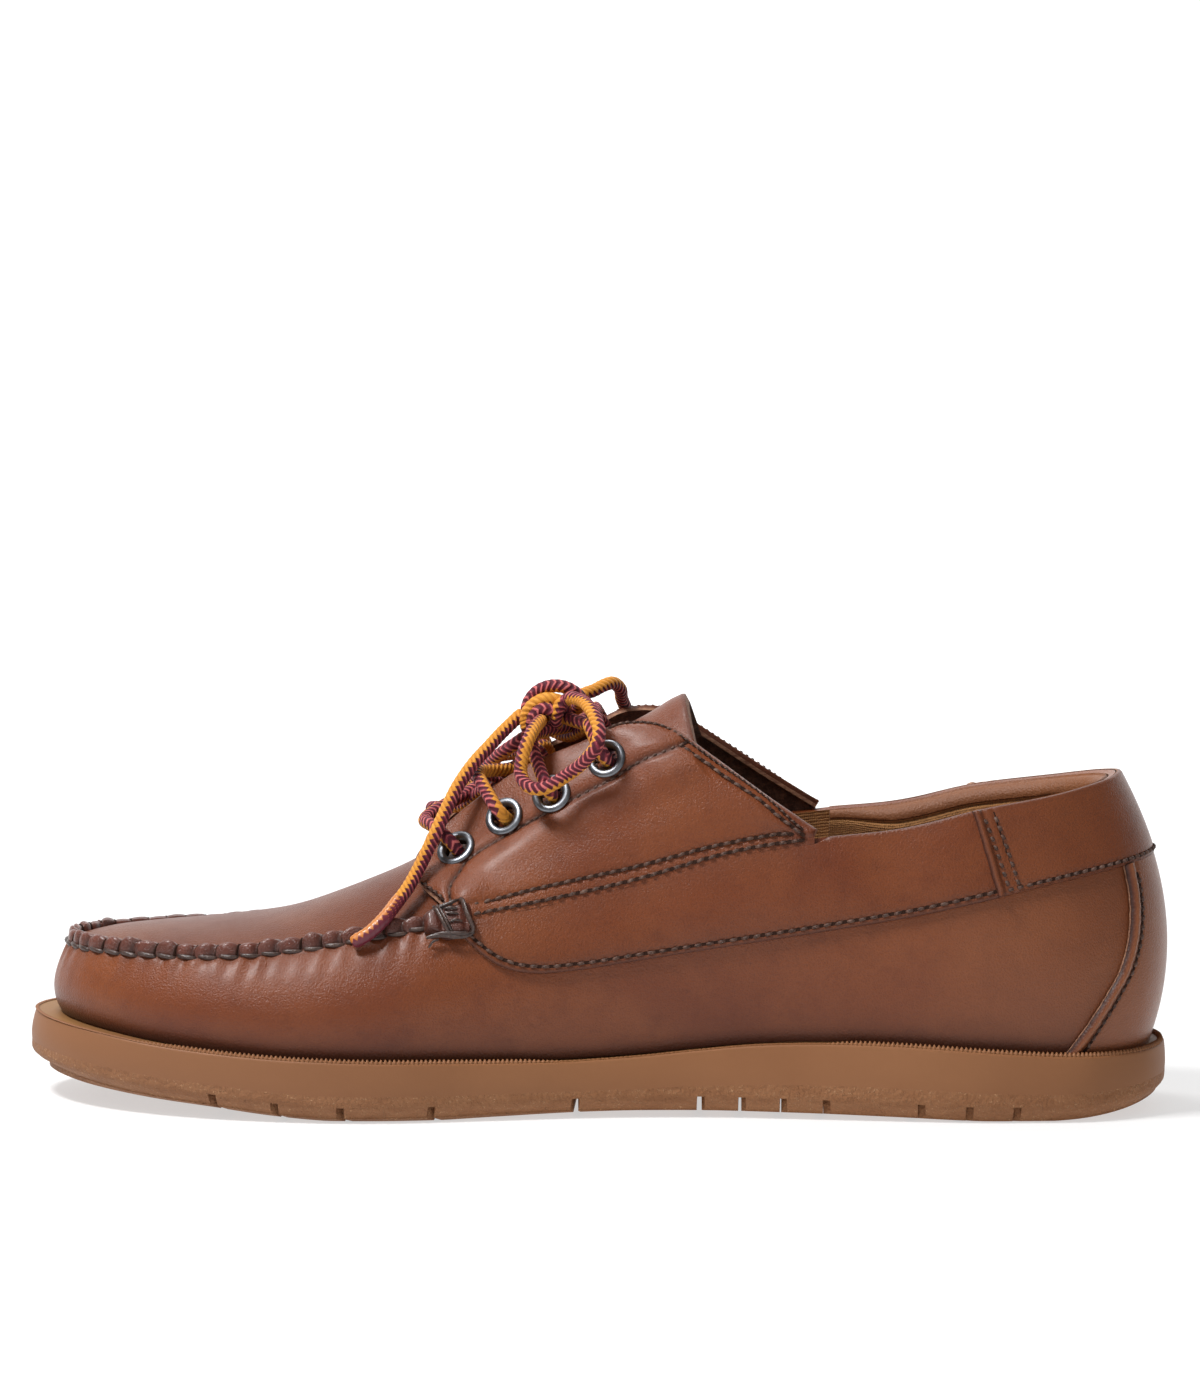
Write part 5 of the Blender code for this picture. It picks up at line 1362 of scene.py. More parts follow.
def make_sole(rubber, band):
    """Gum sole: rings in from its outline, from the top face down the side and across the tread.

    Side: the inset follows the table's curve.  Grooves: where a column is in one, every point
    lower than its roof is lifted to it.
    """
    reach = outline(np.array((0.0, 0.5)))[0][:, 0]
    x = reach[0] + (reach[1] - reach[0]) * spread(230, 0.75)
    sides = np.array((-1.06, -0.98, 0.98, 1.06)) * GROOVE_HALF
    x = np.sort(np.concatenate((x, (np.array(GROOVES)[:, None] * MM + sides).ravel())))
    half = np.linspace(0.0, 0.5, 3001)
    u_m = np.interp(x, outline(half)[0][:, 0], half)
    u_l = 1 - np.interp(x, outline(1 - half)[0][:, 0], half)
    u = np.concatenate((u_m, u_l[-2:0:-1]))
    x = np.concatenate((x, x[-2:0:-1]))
    grooved = np.any(np.abs(x[:, None] - np.array(GROOVES) * MM) < GROOVE_HALF, axis=1)
    edge, outward = outline(u)
    toe = ramp(edge[:, 0], 0.255, 0.300)
    height = np.concatenate((SIDE_TOP, np.linspace(0.90, 0.10, 16), SIDE_FOOT))
    inset, toe_inset = (
        through(sole_side["height"] / MM, sole_side[key], height) + 0.0005 * (
            1 - rounded(1.0 - height, 0.03)) for key in ("inset", "toe_inset"))
    low_edge = tread(edge[:, 0]) + 0.0004 + 0.0007 * ramp(edge[:, 0], 0.130, 0.185)
    first = edge - outward * (inset[0] + (toe_inset[0] - inset[0]) * toe)[:, None]
    roof = tread(edge[:, 0]) + GROOVE_ROOF
    rings = []
    for share in TOP_SHARES:
        plan = drawn_in(first, share)
        rings.append(raised(plan, sole_top(*plan.T)))
    for a, b, h in zip(inset, toe_inset, height):
        plan = edge - outward * (a + (b - a) * toe)[:, None]
        z = low_edge + (sole_top(*plan.T) - low_edge) * h
        rings.append(raised(plan, np.where(grooved, np.maximum(z, roof), z)))
    x = edge[:, 0] * 0.97 + 0.0045
    for share in TREAD_SHARES:
        z = np.where(grooved, roof, tread(x) + 0.0003 * (share > 0.95))
        rings.append(triples(x, first[:, 1] * share * 0.95, z))
    rings = np.stack(rings)
    golden = np.arange(len(rings)) <= len(TOP_SHARES)
    quads = grid_quads(len(rings), len(u), wrap_across=True)
    start = len(TOP_SHARES) + int(np.argmin(np.abs(height - RUBBER_BAND)))
    banded = quads[:, 0] // len(u) >= start
    made = Surface().add(
        rings, [(quads[~banded], 0), (quads[banded], 1)], wear=triples(golden[:, None]))
    made.piece("outsole_rubber", [rubber, band], "rubber", ("outsole",), crease=38.0)


def make_welt(rubber):
    """Toothed bead where the upper meets the sole: a thin tube whose radius rises at each tooth."""
    u = np.linspace(0.0, 1.0, 4001)[:-1]
    edge, outward = outline(u)
    length = arc(edge)
    number = int(round(length[-1] / TOOTH))
    at = np.linspace(0.0, length[-1], number * 4 + 1)[:-1]
    place = np.interp(at, length, u)
    edge, outward = outline(place)
    ledge = ring_value("ledge", "ledge", place)
    waist = ramp(edge[:, 0], 0.082, 0.092) * ramp(edge[:, 0], 0.172, 0.156)
    plain = np.maximum(waist, ramp(edge[:, 0], 0.255, 0.275))
    tooth = np.tile((0.25, 0.9, 1.0, 0.35), number) * (1 - 0.75 * plain)
    angle = turns(6)
    plan = edge - outward * np.minimum(ledge * 0.5, 0.0014)[:, None]
    z = sole_top(*plan.T) + 0.0001
    out = 0.0008 * np.cos(angle)[None] * (0.6 + 0.4 * tooth[:, None])
    up = 0.0011 * np.sin(angle)[None] * tooth[:, None]
    rings = raised(plan[:, None] + outward[:, None] * out[..., None], z[:, None] + up)
    made = Surface().add(rings, [(grid_quads(len(rings), 6, True, True), 0)])
    made.piece("welt_teeth", [rubber], "rubber", crease=80.0)


def make_insole(finish):
    """Sock on the sole: rings in from its outline, with a rounded edge and a shallow cup."""
    u = around(180)
    base = ring_value("ledge", "ledge", u) + WALL + 0.0012
    edge, outward = outline(u)
    side = [(edge - outward * (base + inward)[:, None], up) for inward, up in INSOLE_SIDE]
    under = [(drawn_in(side[0][0], share), 0.0) for share in (0.0, 0.5)]
    top = [(drawn_in(side[-1][0], share), INSOLE - 0.0006 * (1 - share**2))
           for share in (0.8, 0.55, 0.3, 0.1, 0.0)]
    rings = np.stack([raised(plan, sole_top(*plan.T) + GAP + up)
                      for plan, up in under + side + top])
    made = Surface().add(rings, [(grid_quads(len(rings), len(u), wrap_across=True), 0)])
    made.piece("insole_sock", [finish], "insole", ("insole",))


# ---- upper

def wall_relief(u, v):
    """Lift of the leather on the wall.

    Puckers: a cosine of the stitch number that dies away below the seam.  Fold: a bell-shaped
    dip under the beads.  Dents: soft waves all over.
    """
    down = (1 - v) * wall_height(u)
    phase = seam_phase(u)
    chance = 1 + 0.40 * np.sin(1.7 * phase) + 0.30 * np.sin(0.63 * phase + 1.0)
    wander = 0.8 * np.sin(0.9 * phase) + down * 30.0 * np.sin(0.37 * phase)
    pucker = 0.00036 * chance * np.cos(2 * math.pi * phase + wander)
    pucker = pucker * np.exp(-down / 0.0032) * ramp(down, 0.0004, 0.0018)
    fold = -0.00045 * hump(down, 0.0013)
    place = wall(u, v)
    dents = 0.00010 * soft_waves(place, 0.052) * ramp(v, 0.0, 0.3)
    return (pucker + fold) * on_seam(u) + dents


def make_wall(leather, lining):
    """Vamp, quarters and back as one wall of two grids, lifted by the leather's relief."""
    u = fine_columns(0.00052, 0.0016)
    t = np.linspace(0.0, 1.0, 52)
    v = 1 - (1 - t)**1.3
    uu, vv = grid_of(u, v)
    outer = wall(uu, vv, wall_relief(uu, vv))
    inner = wall(uu, vv, -WALL)
    down = (1 - vv) * wall_height(uu)
    low = vv * wall_height(uu)
    seam = on_seam(uu)
    # Painted shade: darker at the foot of the wall over the sole and just under the raised seam.
    shade_and_dark_tone = 0.60 * hump(low, 0.0026) + 0.30 * hump(low, 0.008) + seam * 0.5 * hump(down, 0.0016)
    heel = ramp(np.abs(uu - 0.5), 0.34, 0.44)
    tan_and_highlight = 0.28 * heel
    creased = seam * np.exp(-down / 0.007)
    lay = triples(uu * 0.7, down)
    made = Surface().sheet(outer, inner, closed=True, skins=(0, 1, 0),
                           wear=triples(shade_and_dark_tone, tan_and_highlight, creased), lay=lay)
    made.piece("vamp_and_quarters", [leather, lining], "leather", ("upper",))


def make_plug(leather, lining):
    """Plug: the crowned sheet between the seams, dipping along them."""
    start = place_of_x(PLUG_BACK_X * MM, 1)
    u = start + (0.5 - start) * (np.sin(np.linspace(0.0, math.pi / 2, 150)) * 0.5
                                 + 0.5 * np.linspace(0, 1, 150))
    q = towards_ends(72)
    uu, qq = grid_of(u, q)
    half = (wall(uu, 1.0)[..., 1] - wall(1 - uu, 1.0)[..., 1]) / 2
    inward = (1 - np.abs(qq)) * np.abs(half)
    phase = np.where(qq > 0, seam_phase(uu), seam_phase(1 - uu))
    relief = (-0.0005 * hump(inward, 0.0012)
              + 0.00012 * np.cos(2 * math.pi * phase) * np.exp(-inward / 0.0025)
              * ramp(inward, 0.0, 0.001))
    base = plug_surface(uu, qq)
    relief = (relief + 0.00010 * soft_waves(base, 0.07)) * ramp(half, 0.0, 0.004)
    outer = plug_surface(uu, qq, relief)
    inner = plug_surface(uu, qq, -WALL)
    # Painted shade along both seams, where the plug dips beside the beads.
    wear = triples(0.45 * hump(inward, 0.0018), 0.0, 0.5 * np.exp(-inward / 0.005))
    made = Surface().sheet(outer, inner, skins=(0, 1, 0), wear=wear)
    made.piece("vamp_plug", [leather, lining], "leather")


def seam_frames(u):
    """Line of the raised seam, and its directions along, inwards and up."""
    line = wall(u, 1.0, -WALL * 0.55)
    way = unit(np.gradient(line, axis=0))
    across = unit(np.cross(way, UP))
    return line, way, across, unit(np.cross(across, way))


def make_beads(leather):
    """Raised seam: a rounded section that swells between stitches and is pinched at each one.

    Swell is the size of the sine of the stitch number to a small power, later on the outer side
    so that the pinches slant, with a little chance from bead to bead, and a shallow furrow runs
    along the top.
    """
    wanted = np.arange(0.0, STITCHES + 0.001, 1 / BEAD_RINGS)
    u = place_of_stitch(wanted)
    line, _, across, lean = seam_frames(u)
    chance = np.random.default_rng(SEED).uniform(-1, 1, (3, STITCHES + 2))
    number = np.minimum(wanted.astype(int), STITCHES)
    turn = turns(26)
    cosine, sine = np.cos(turn), np.sin(turn)
    side = squarer(cosine)
    height = np.where(sine > 0, np.abs(sine)**0.85, -np.abs(sine))
    slant = PINCH_SLANT * (1 + 0.6 * np.sin(1.9 * wanted))[:, None] * side[None]
    far = far_side(u)[:, None]
    swell = np.abs(np.sin(math.pi * (wanted[:, None] + slant)))**0.75
    swell = swell + (0.75 - swell) * 0.6 * far
    ends = ramp(np.minimum(wanted, STITCHES - wanted), 0.0, 1.6)
    half, tall = (
        size * (low + (more + luck * chance[k][number])[:, None] * swell)
        for k, size, (low, more, luck) in ((0, RIDGE_WIDTH / 2, BEAD_WIDTH),
                                           (1, RIDGE_HEIGHT, BEAD_HEIGHT)))
    tall = tall * ((0.80 + 0.20 * ends) * (1 - FAR_SINK * far[:, 0]))[:, None]
    shove = 0.00024 * chance[2][number][:, None] * swell
    furrow = 0.14 * np.exp(-((turn - math.pi * 0.42) / 0.22)**2)
    reach = np.where(sine[None] > 0, tall * (1 - furrow[None]), SEAM_DEPTH)
    rings = (line[:, None] + across[:, None] * (side[None] * half + shove)[..., None]
             + lean[:, None] * (height[None] * reach)[..., None])
    # Painted shade in the pinches and on the lower half of each bead, with a little random dark
    # tone from bead to bead.
    shade_and_dark_tone = 0.75 * (1 - swell) + 0.30 * (1 - np.clip(sine, 0, 1))[None]
    shade_and_dark_tone = np.clip(shade_and_dark_tone + 0.02 + 0.14 * chance[1][number][:, None], 0, 0.96)
    made = Surface().tube(rings, 0, wear=triples(shade_and_dark_tone, 0.0, 0.8))
    made.piece("seam_beads", [leather], "leather", crease=75.0)


def strand(surface, points, radius, sides=7, flat=0.85, skin=0):
    """Short round strand along a few points, thinner at both ends."""
    line = resampled(np.asarray(points), radius * 0.8)
    side, other = turning_frames(line)
    size = radius * (1 - 0.5 * np.linspace(-1.0, 1.0, len(line))**6)
    return surface.tube(
        line[:, None] + size[:, None, None] * hoop(side, other * flat, turns(sides)), skin)


def make_seam_thread(thread, hole):
    """Thread of the raised seam: a rope of slanted strands along its outer foot, and a wrap over
    the seam at each pinch.

    A strand starts low and outside a pinch and ends higher and nearer after the next one.
    """
    made = Surface()
    t = np.linspace(-1.0, 1.0, 9)
    start = np.arange(STITCHES) + 0.5
    chance = np.random.default_rng(SEED + 1).uniform(-1, 1, (3, STITCHES))
    phase = start[:, None] + t[None] * STRAND_REACH
    line, _, across, lean = (
        a.reshape(STITCHES, 9, 3) for a in seam_frames(place_of_stitch(phase.ravel())))
    out = ROPE_OUT + ROPE_BEND * np.cos(math.pi * t)[None] + 0.00008 * chance[0][:, None]
    up = -ROPE_DROP + ROPE_CLIMB * t[None] + 0.00012 * chance[1][:, None]
    centre = line - across * out[..., None] + lean * up[..., None]
    size = SEAM_THREAD / 2 * (1 - 0.55 * np.abs(t)**2.5)
    made.copies(centre[:, :, None] + hoop(across * 0.9, lean, turns(8)) * size[:, None, None])
    u = place_of_stitch(np.arange(1, STITCHES) * 1.0)
    line, way, across, lean = seam_frames(u)
    turn = np.linspace(math.radians(-25), math.radians(205), 11)
    half, tall = RIDGE_WIDTH / 2 * 0.72, RIDGE_HEIGHT * 0.72
    side = squarer(np.cos(turn)) * half
    height = np.where(np.sin(turn) > 0, np.sin(turn) * tall, np.sin(turn) * SEAM_DEPTH)
    slope = np.linspace(-1.0, 1.0, len(turn)) * PINCH_SLANT * BEAD_PITCH
    sink = 1 - FAR_SINK * far_side(u)
    path = (line[:, None] + across[:, None] * side[None, :, None]
            + lean[:, None] * (height[None] * sink[:, None])[..., None]
            + way[:, None] * slope[None, :, None])
    radial = unit(across[:, None] * (side / half)[None, :, None]
                  + lean[:, None] * (height / tall)[None, :, None])
    # The wraps take the near-black finish of the needle holes: painted shade in the pinches.
    made.copies(path[:, :, None] + hoop(way[:, None], radial, turns(5)) * WRAP_RADIUS, 1)
    made.piece("seam_thread", [thread, hole], "leather", crease=70.0)


def tack_place(side, x, down, lift):
    """Point on the wall's outside near the tack: at x along, down below the top line."""
    u = place_of_x(np.asarray(x, dtype=float) * MM, side)
    v = 1 - np.asarray(down, dtype=float) * MM / wall_height(u)
    return wall(u, v, np.asarray(lift, dtype=float) * MM)


def make_tacks(leather, thread):
    """Tack at each end of the raised seam: a domed tab with its thick thread.

    Tab: a grid from the seam's end back along the wall, lifted by a dome that falls off at the
    rim as one minus the fourth power across.
    """
    made = Surface()
    threads = Surface()
    for side in (1, -1):
        s, t = grid_of(np.linspace(0.0, 1.0, 26), np.linspace(-1.0, 1.0, 18))
        x = TAB_START - TAB_LENGTH * s
        broad = TAB_HALF + TAB_SPREAD * ramp(s, 0.0, 0.5)
        down = 0.3 + 0.9 * ramp(s, 0.1, 0.6) + t * broad
        dome = np.clip(1 - t**6, 0, 1)**0.5 * np.sqrt(np.clip(1 - ramp(s, 0.90, 1.0)**2, 0, 1))
        dome = dome * np.sqrt(np.clip(1 - ramp(-s, -0.16, 0.0)**2, 0, 1))
        pinch = 1 - 0.35 * (hump(s - 0.36, 0.06) + hump(s - 0.86, 0.06))
        outer = tack_place(side, x, down, 1.0 + 2.7 * dome * pinch)
        inner = tack_place(side, x, down, 0.2 + 0 * dome)
        # Darker tab, darker still towards its rim.
        shade_and_dark_tone = 0.45 + 0.4 * np.abs(t)**3
        made.sheet(outer, inner, skins=(0, 0, 0), wear=triples(shade_and_dark_tone, 0.0, 0.7))
        for points, radius in TACK_THREADS:
            x, down, lift = np.array(points).T
            strand(threads, tack_place(side, x, down, lift), radius * MM)
    made.piece("seam_tacks", [leather], "leather")
    threads.piece("tack_thread", [thread], "leather")


# ---- bands at the heel and sides

def overlay(name, node, looks, uu, vv, edge, thick, groove, extra, wear):
    """Leather laid on the wall, rounded at its edges and pressed in along its stitches.

    Lift is the gap plus thick times a quarter circle of the distance to the edge, less a
    bell-shaped groove, plus anything extra.
    """
    lift = GAP + thick * (0.25 + 0.75 * rounded(edge, EDGE_ROUND)) + extra
    lift = lift - GROOVE_DEPTH * hump(groove, GROOVE_WIDTH)
    # Darker along the rounded edges.
    wear = wear + triples(0.50 * hump(edge, EDGE_ROUND))
    made = Surface().sheet(wall(uu, vv, lift), wall(uu, vv, GAP), wear=wear)
    made.piece(name, looks, "leather", (node,))


def at_shares(values, shares):
    """Values at equal steps, read at shares of the whole way."""
    return np.interp(shares, np.linspace(0, 1, len(values)), values)


def from_ends(place):
    """Distance of each point of a grid from the nearer of its first and last columns."""
    return np.minimum(size_of(place - place[:1]), size_of(place - place[-1:]))


def band_grid(side, count, rows):
    """Places and levels of one quarter band, with its height and its distances from the edges."""
    edges = slanted_edge(COLLAR_FRONT, rows)
    back = edges[0] if side > 0 else 1.0 - edges[1]
    front = place_of_x(BAND_FRONT, 1) if side > 0 else 1.0 - place_of_x(BAND_FRONT, -1)
    corners = np.array([place_of_x(x, side) for x in (STEP_BACK, STEP_FRONT)])
    corners = corners if side > 0 else 1.0 - corners
    share = spread(count, 0.35)
    rise = spread(rows)
    u = np.sort(np.concatenate((back[-1] + (front - back[-1]) * share, corners)))
    share = (u - u[0]) / (u[-1] - u[0])
    back = at_shares(back, rise)
    uu = back[None, :] + (front - back)[None, :] * share[:, None]
    uu = uu if side > 0 else 1.0 - uu
    low = level_of_edge(uu[:, 0], band_low)
    height = wall_height(uu[:, -1])
    x = wall(uu[:, -1], 1.0)[..., 0]
    laced = ramp(x, STEP_BACK, STEP_FRONT)
    high = 1.0 - FACING_LAP * laced / height
    low = np.minimum(low, high - 0.04)
    vv = low[:, None] + (high - low)[:, None] * rise
    up = (vv - low[:, None]) * height[:, None]
    down = (high[:, None] - vv) * height[:, None]
    return uu, vv, up, down, laced[:, None]


def make_bands(looks):
    """Quarter bands: leather on the wall, with a stitched and rounded lower edge."""
    for side, name in SIDES:
        uu, vv, up, down, laced = band_grid(side, 230, 34)
        place = wall(uu, vv)
        ahead = size_of(place - place[-1:])
        free = np.where(laced > 0.5, 1.0, down)
        edge = np.minimum(np.minimum(up, free), ahead)
        dents = 0.00014 * soft_waves(place, 0.047, (2.0, 0.4, 1.1)) * ramp(edge, 0.0, 0.006)
        # Darker towards the lower edge, and painted shade towards the top, under the facing's lap.
        shade_and_dark_tone = 0.22 * hump(up, 0.006) + 0.12 * hump(down, 0.004) * laced
        overlay("quarter_band_leather_" + name, "quarter_band_" + name, looks, uu, vv, edge,
                OVERLAY, up - BAND_ROW, dents, triples(shade_and_dark_tone))


def make_heel_collar(looks):
    """Heel collar: leather over the back of the heel, its front edges turned and raised."""
    rows = 30
    edges = slanted_edge(COLLAR_FRONT, rows)
    rise = spread(rows)
    start = at_shares(edges[1] - 1.0 - 0.0011, rise)
    end = at_shares(edges[0] + 0.0011, rise)
    share = spread(200, 0.5)[:, None]
    uu = start + (end - start) * share
    low = level_of_edge(uu[:, 0], band_low) + COLLAR_LAP
    vv = low[:, None] + (1.0 - low)[:, None] * rise
    height = wall_height(uu)
    up = (vv - low[:, None]) * height
    front = from_ends(wall(uu, vv))
    down = (1 - vv) * height
    edge = np.minimum(np.minimum(up, down), front)
    lip = 0.00100 * hump(front - 0.0011, 0.0010) + 0.00030 * ramp(front, 0.012, 0.0)
    groove = functools.reduce(np.minimum, (
        np.abs(up - COLLAR_FOOT_ROW), *(np.abs(front - row) for row in COLLAR_FRONT_ROWS)))
    # Painted shade at the front edge and where the raised lip falls back towards the rows.
    shade_and_dark_tone = 0.5 * hump(front, 0.0006) + 0.35 * hump(front - 0.0021, 0.0004)
    overlay("heel_collar_leather", "heel_collar", looks, uu, vv, edge, OVERLAY, groove, lip,
            triples(shade_and_dark_tone, 0.12))


def counter_grid(count, rows):
    """Places and levels of the heel counter, and the distance from its front edges."""
    medial, lateral = slanted_edge(COUNTER_FRONT, rows)
    share = spread(count, 0.5)[:, None]
    uu = lateral - 1.0 + (medial - lateral + 1.0) * share
    high = level_of_edge(uu[:, -1], band_low) + 0.004
    vv = 0.004 + (high - 0.004)[:, None] * np.linspace(0.0, 1.0, rows)
    return uu, vv, from_ends(wall(uu, vv))


def make_counter(looks):
    """Heel counter: thin leather on the heel, with a piped front edge."""
    uu, vv, front = counter_grid(150, 60)
    edge = np.minimum(front, 0.01)
    pipe = 0.00130 * hump(front - 0.0016, 0.0014)
    # Painted shade at the front edge and behind the piping; paler tan over the body, with a painted
    # highlight on the piping's crest.
    shade_and_dark_tone = 0.6 * hump(front, 0.0006) + 0.5 * hump(front - 0.0032, 0.0005)
    tan_and_highlight = 0.35 * ramp(front, 0.0, 0.004) + 0.45 * hump(front - 0.0016, 0.0008)
    overlay("heel_counter_leather", "heel_counter", looks, uu, vv, edge, COUNTER_THICK,
            front - COUNTER_ROW, pipe, triples(shade_and_dark_tone, tan_and_highlight))


# ---- facings and eyelets

def facing_line(table, side, lift):
    """Smooth line on the facing through a table's places, and the direction out of it."""
    foot, share = np.array(table).T
    knots = np.arange(len(foot)) * 1.0
    at = np.linspace(0.0, knots[-1], 40 * len(foot))
    u = place_of_x(through(knots, foot, at) * MM, side)
    return normal_line(instep, u, through(knots, share, at) * MM, lift)


def facing_seams(side):
    """Rows of stitches on a facing: line, way out, lift, pitch, thread and groove."""
    height = instep_height(side)
    upper = [(foot, 1000.0 * up / np.interp(foot, *height)) for foot, up in UPPER_ROW]
    top = GAP + FACING
    rows = (
        (EYELET_SEAM, top, SHORT_STITCH, FINE_THREAD * 0.80, 0.00060),
        (REAR_ROW, top, SHORT_STITCH * 1.3, FINE_THREAD, 0.00034),
        (EDGE_ROW, top, 0.0019, FINE_THREAD * 0.75, 0.00022),
        (FRONT_ROW, top, SHORT_STITCH, FINE_THREAD * 0.9, 0.00025),
        (upper, GAP + OVERLAY + 0.0003, LONG_STITCH, FINE_THREAD, 0.00030))
    return [(*facing_line(table, side, lift), lift, pitch, thick, depth)
            for table, lift, pitch, thick, depth in rows]


def near_line(grid, line):
    """Distance from each point of a grid to the nearest point of a line."""
    points = grid.reshape(-1, 1, 3)
    return np.min(size_of(points - line[None, ::3]), axis=1).reshape(grid.shape[:2])


def instep_height(side):
    """Length up the facing in mm at each foot x in mm."""
    foot = np.linspace(92.0, 187.0, 60)
    u = place_of_x(foot * MM, side)
    return foot, size_of(instep(u, 1.0) - instep(u, 0.0)) / MM


def instep_length(uu, ww):
    """Distance up the facing from its seam, along each column."""
    place = instep(uu, ww)
    steps = size_of(np.diff(place, axis=1))
    return np.concatenate((np.zeros((len(uu), 1)), np.cumsum(steps, axis=1)), axis=1)


def make_facings(looks):
    """Lace facings: two plies from the seam to the free edge, with the eyelets' holes.

    Lift is the plies' thickness with a rounded edge, less a groove along each row of stitches,
    plus a soft roll below the eyelets' seam.  Points near a hole move onto its circle.
    """
    for side, name in SIDES:
        start, end = facing_ends(side)
        u = start + (end - start) * spread(190, 0.25)
        w = 1 - (1 - np.linspace(0.0, 1.0, 74))**1.12
        uu, ww = grid_of(u, w)
        up = instep_length(uu, ww)
        free = up[:, -1:] - up
        foot = wall(u, 1.0)[..., 0]
        place = instep(uu, ww)
        back = size_of(place - place[-1:, :1])
        ahead = size_of(place - place[:1])
        edge = np.minimum(free, ahead)
        low_x, share = np.array(EYELET_SEAM).T * MM
        seam_w = through(low_x, share, np.clip(foot, low_x[0], low_x[-1]))[:, None]
        seam = (ww - seam_w) * up[:, -1:]
        seamed = ramp(foot, 0.1055, 0.1075)[:, None] * (1 - ramp(foot, 0.181, 0.186))[:, None]
        rolled = 0.00090 * hump(seam + 0.0056, 0.0048) + 0.00035 * hump(seam - 0.0030, 0.0022)
        relief = seamed * rolled
        for line, out, lift, _, _, depth in facing_seams(side):
            relief = relief - depth * hump(near_line(place, line - out * lift), 0.0008)
        relief = relief + 0.00012 * soft_waves(place, 0.036, (0.6, 2.2, 0.3)) * ramp(
            up, 0.0, 0.008) * ramp(free, 0.0, 0.006)
        body = OVERLAY + (FACING - OVERLAY) * ramp(ww, 0.0, 0.3)
        lift = GAP + body * (0.45 + 0.55 * rounded(edge, 0.0007)) + relief
        under = np.full_like(ww, GAP)
        low = 1.0 - FACING_LAP / wall_height(u)
        outer = np.concatenate((wall(u, low, GAP + OVERLAY)[:, None], instep(uu, ww, lift)), 1)
        inner = np.concatenate((wall(u, low, GAP)[:, None], instep(uu, ww, under)), 1)
        away = np.full(outer.shape[:2], 1.0)
        for middle, way in eyelet_frames(side):
            for grid in (outer, inner):
                flat = square_to(way, grid - middle)
                r = size_of(flat)
                near = (r > HOLE_RING[0]) & (r < HOLE_RING[1])
                wanted = HOLE_EDGE + (r - HOLE_RING[0]) * 0.5
                grid[near] += (unit(flat) * (wanted - r)[..., None])[near]
            away = np.minimum(away, size_of(square_to(way, outer - middle)))
        cell = np.maximum(np.maximum(away[:-1, :-1], away[1:, :-1]),
                          np.maximum(away[:-1, 1:], away[1:, 1:]))
        keep = cell > HOLE_KEEP
        # Painted shade in the groove of the eyelets' seam; darker also along the free edge and the
        # front end, and towards the rear end.
        shade_and_dark_tone = 0.45 * hump(edge, 0.0010) + seamed * 0.8 * hump(seam, 0.0008)
        shade_and_dark_tone = shade_and_dark_tone + 0.25 * hump(back, 0.012)
        creased = seamed * np.clip(0.9 * hump(seam, 0.008), 0, 1) + 0.15
        wear = triples(shade_and_dark_tone, 0.0, creased)
        wear = np.concatenate((wear[:, :1], wear), axis=1)
        made = Surface().sheet(outer, inner, keep=keep, wear=wear)
        made.piece("facing_leather_" + name, looks, "leather", ("facing_" + name,))


def make_eyelets(metal, shade):
    """Eyelets: a half profile turned about the hole's axis, with a rolled flange and a barrel."""
    turn = np.linspace(math.radians(-75), math.radians(250), 16)
    middle, half = np.array(FLANGE)
    flange = middle + half * np.stack((np.cos(turn), np.sin(turn)), axis=-1)
    profile = np.concatenate(((FLANGE_FOOT,), flange, BARREL)) * MM
    angle = turns(EYELET_SIDES)
    quads = grid_quads(len(profile), EYELET_SIDES, True, True)
    barrel = quads[:, 0] // EYELET_SIDES > len(flange)
    for side, name in SIDES:
        for number, (place, way) in enumerate(eyelet_frames(side)):
            right = unit(np.cross(way, UP))
            rim = hoop(right, np.cross(way, right), angle)
            rings = place + rim[None] * profile[:, 0, None, None] + way * profile[:, 1, None, None]
            made = Surface().add(rings, [(quads[~barrel], 0), (quads[barrel], 1)])
            node = "eyelet_%s_%d" % (name, number + 1)
            made.piece(node + "_ring", [metal, shade], "metal", (node,), crease=60.0)


# ---- tongue and collar

def make_tongue(looks):
    """Tongue: an arched sheet, its middle on a curve and its sides dropping as a power across."""
    x = np.linspace(tongue["x"][0] / MM, tongue["x"][-1] / MM, 90) * MM
    middle, half, drop = (through(tongue["x"], tongue[key], x) for key in ("z", "half", "drop"))
    slope = np.gradient(middle, x)
    tilt = unit(triples(-slope, 0.0, 1.0))
    q = towards_ends(48)
    outer = np.repeat(triples(x, 0.0, middle)[:, None], len(q), axis=1)
    outer[..., 1] += half[:, None] * q
    outer[..., 2] -= drop[:, None] * np.abs(q)**1.9
    outer[..., 0] -= TONGUE_SWEEP * ramp(x, 0.150, 0.130)[:, None] * q**2
    normal = np.repeat(tilt[:, None], len(q), axis=1)
    normal[..., 1] += (drop / half)[:, None] * 1.9 * np.sign(q) * np.abs(q)**0.9
    normal = unit(normal)
    edge = np.minimum((1 - np.abs(q))[None] * half[:, None], (x - x[-1])[:, None] * 1.2)
    relief = 0.00025 * soft_waves(outer, 0.030) * ramp(edge, 0.0, 0.004)
    face = outer + normal * (relief - 0.0004 * (1 - rounded(edge, 0.0006)))[..., None]
    inner = outer - normal * TONGUE
    # Darker along its edges.
    made = Surface().sheet(face, inner, wear=triples(0.5 * hump(edge, 0.0012), 0.0, 0.25))
    made.piece("tongue_leather", looks, "leather", ("tongue",))


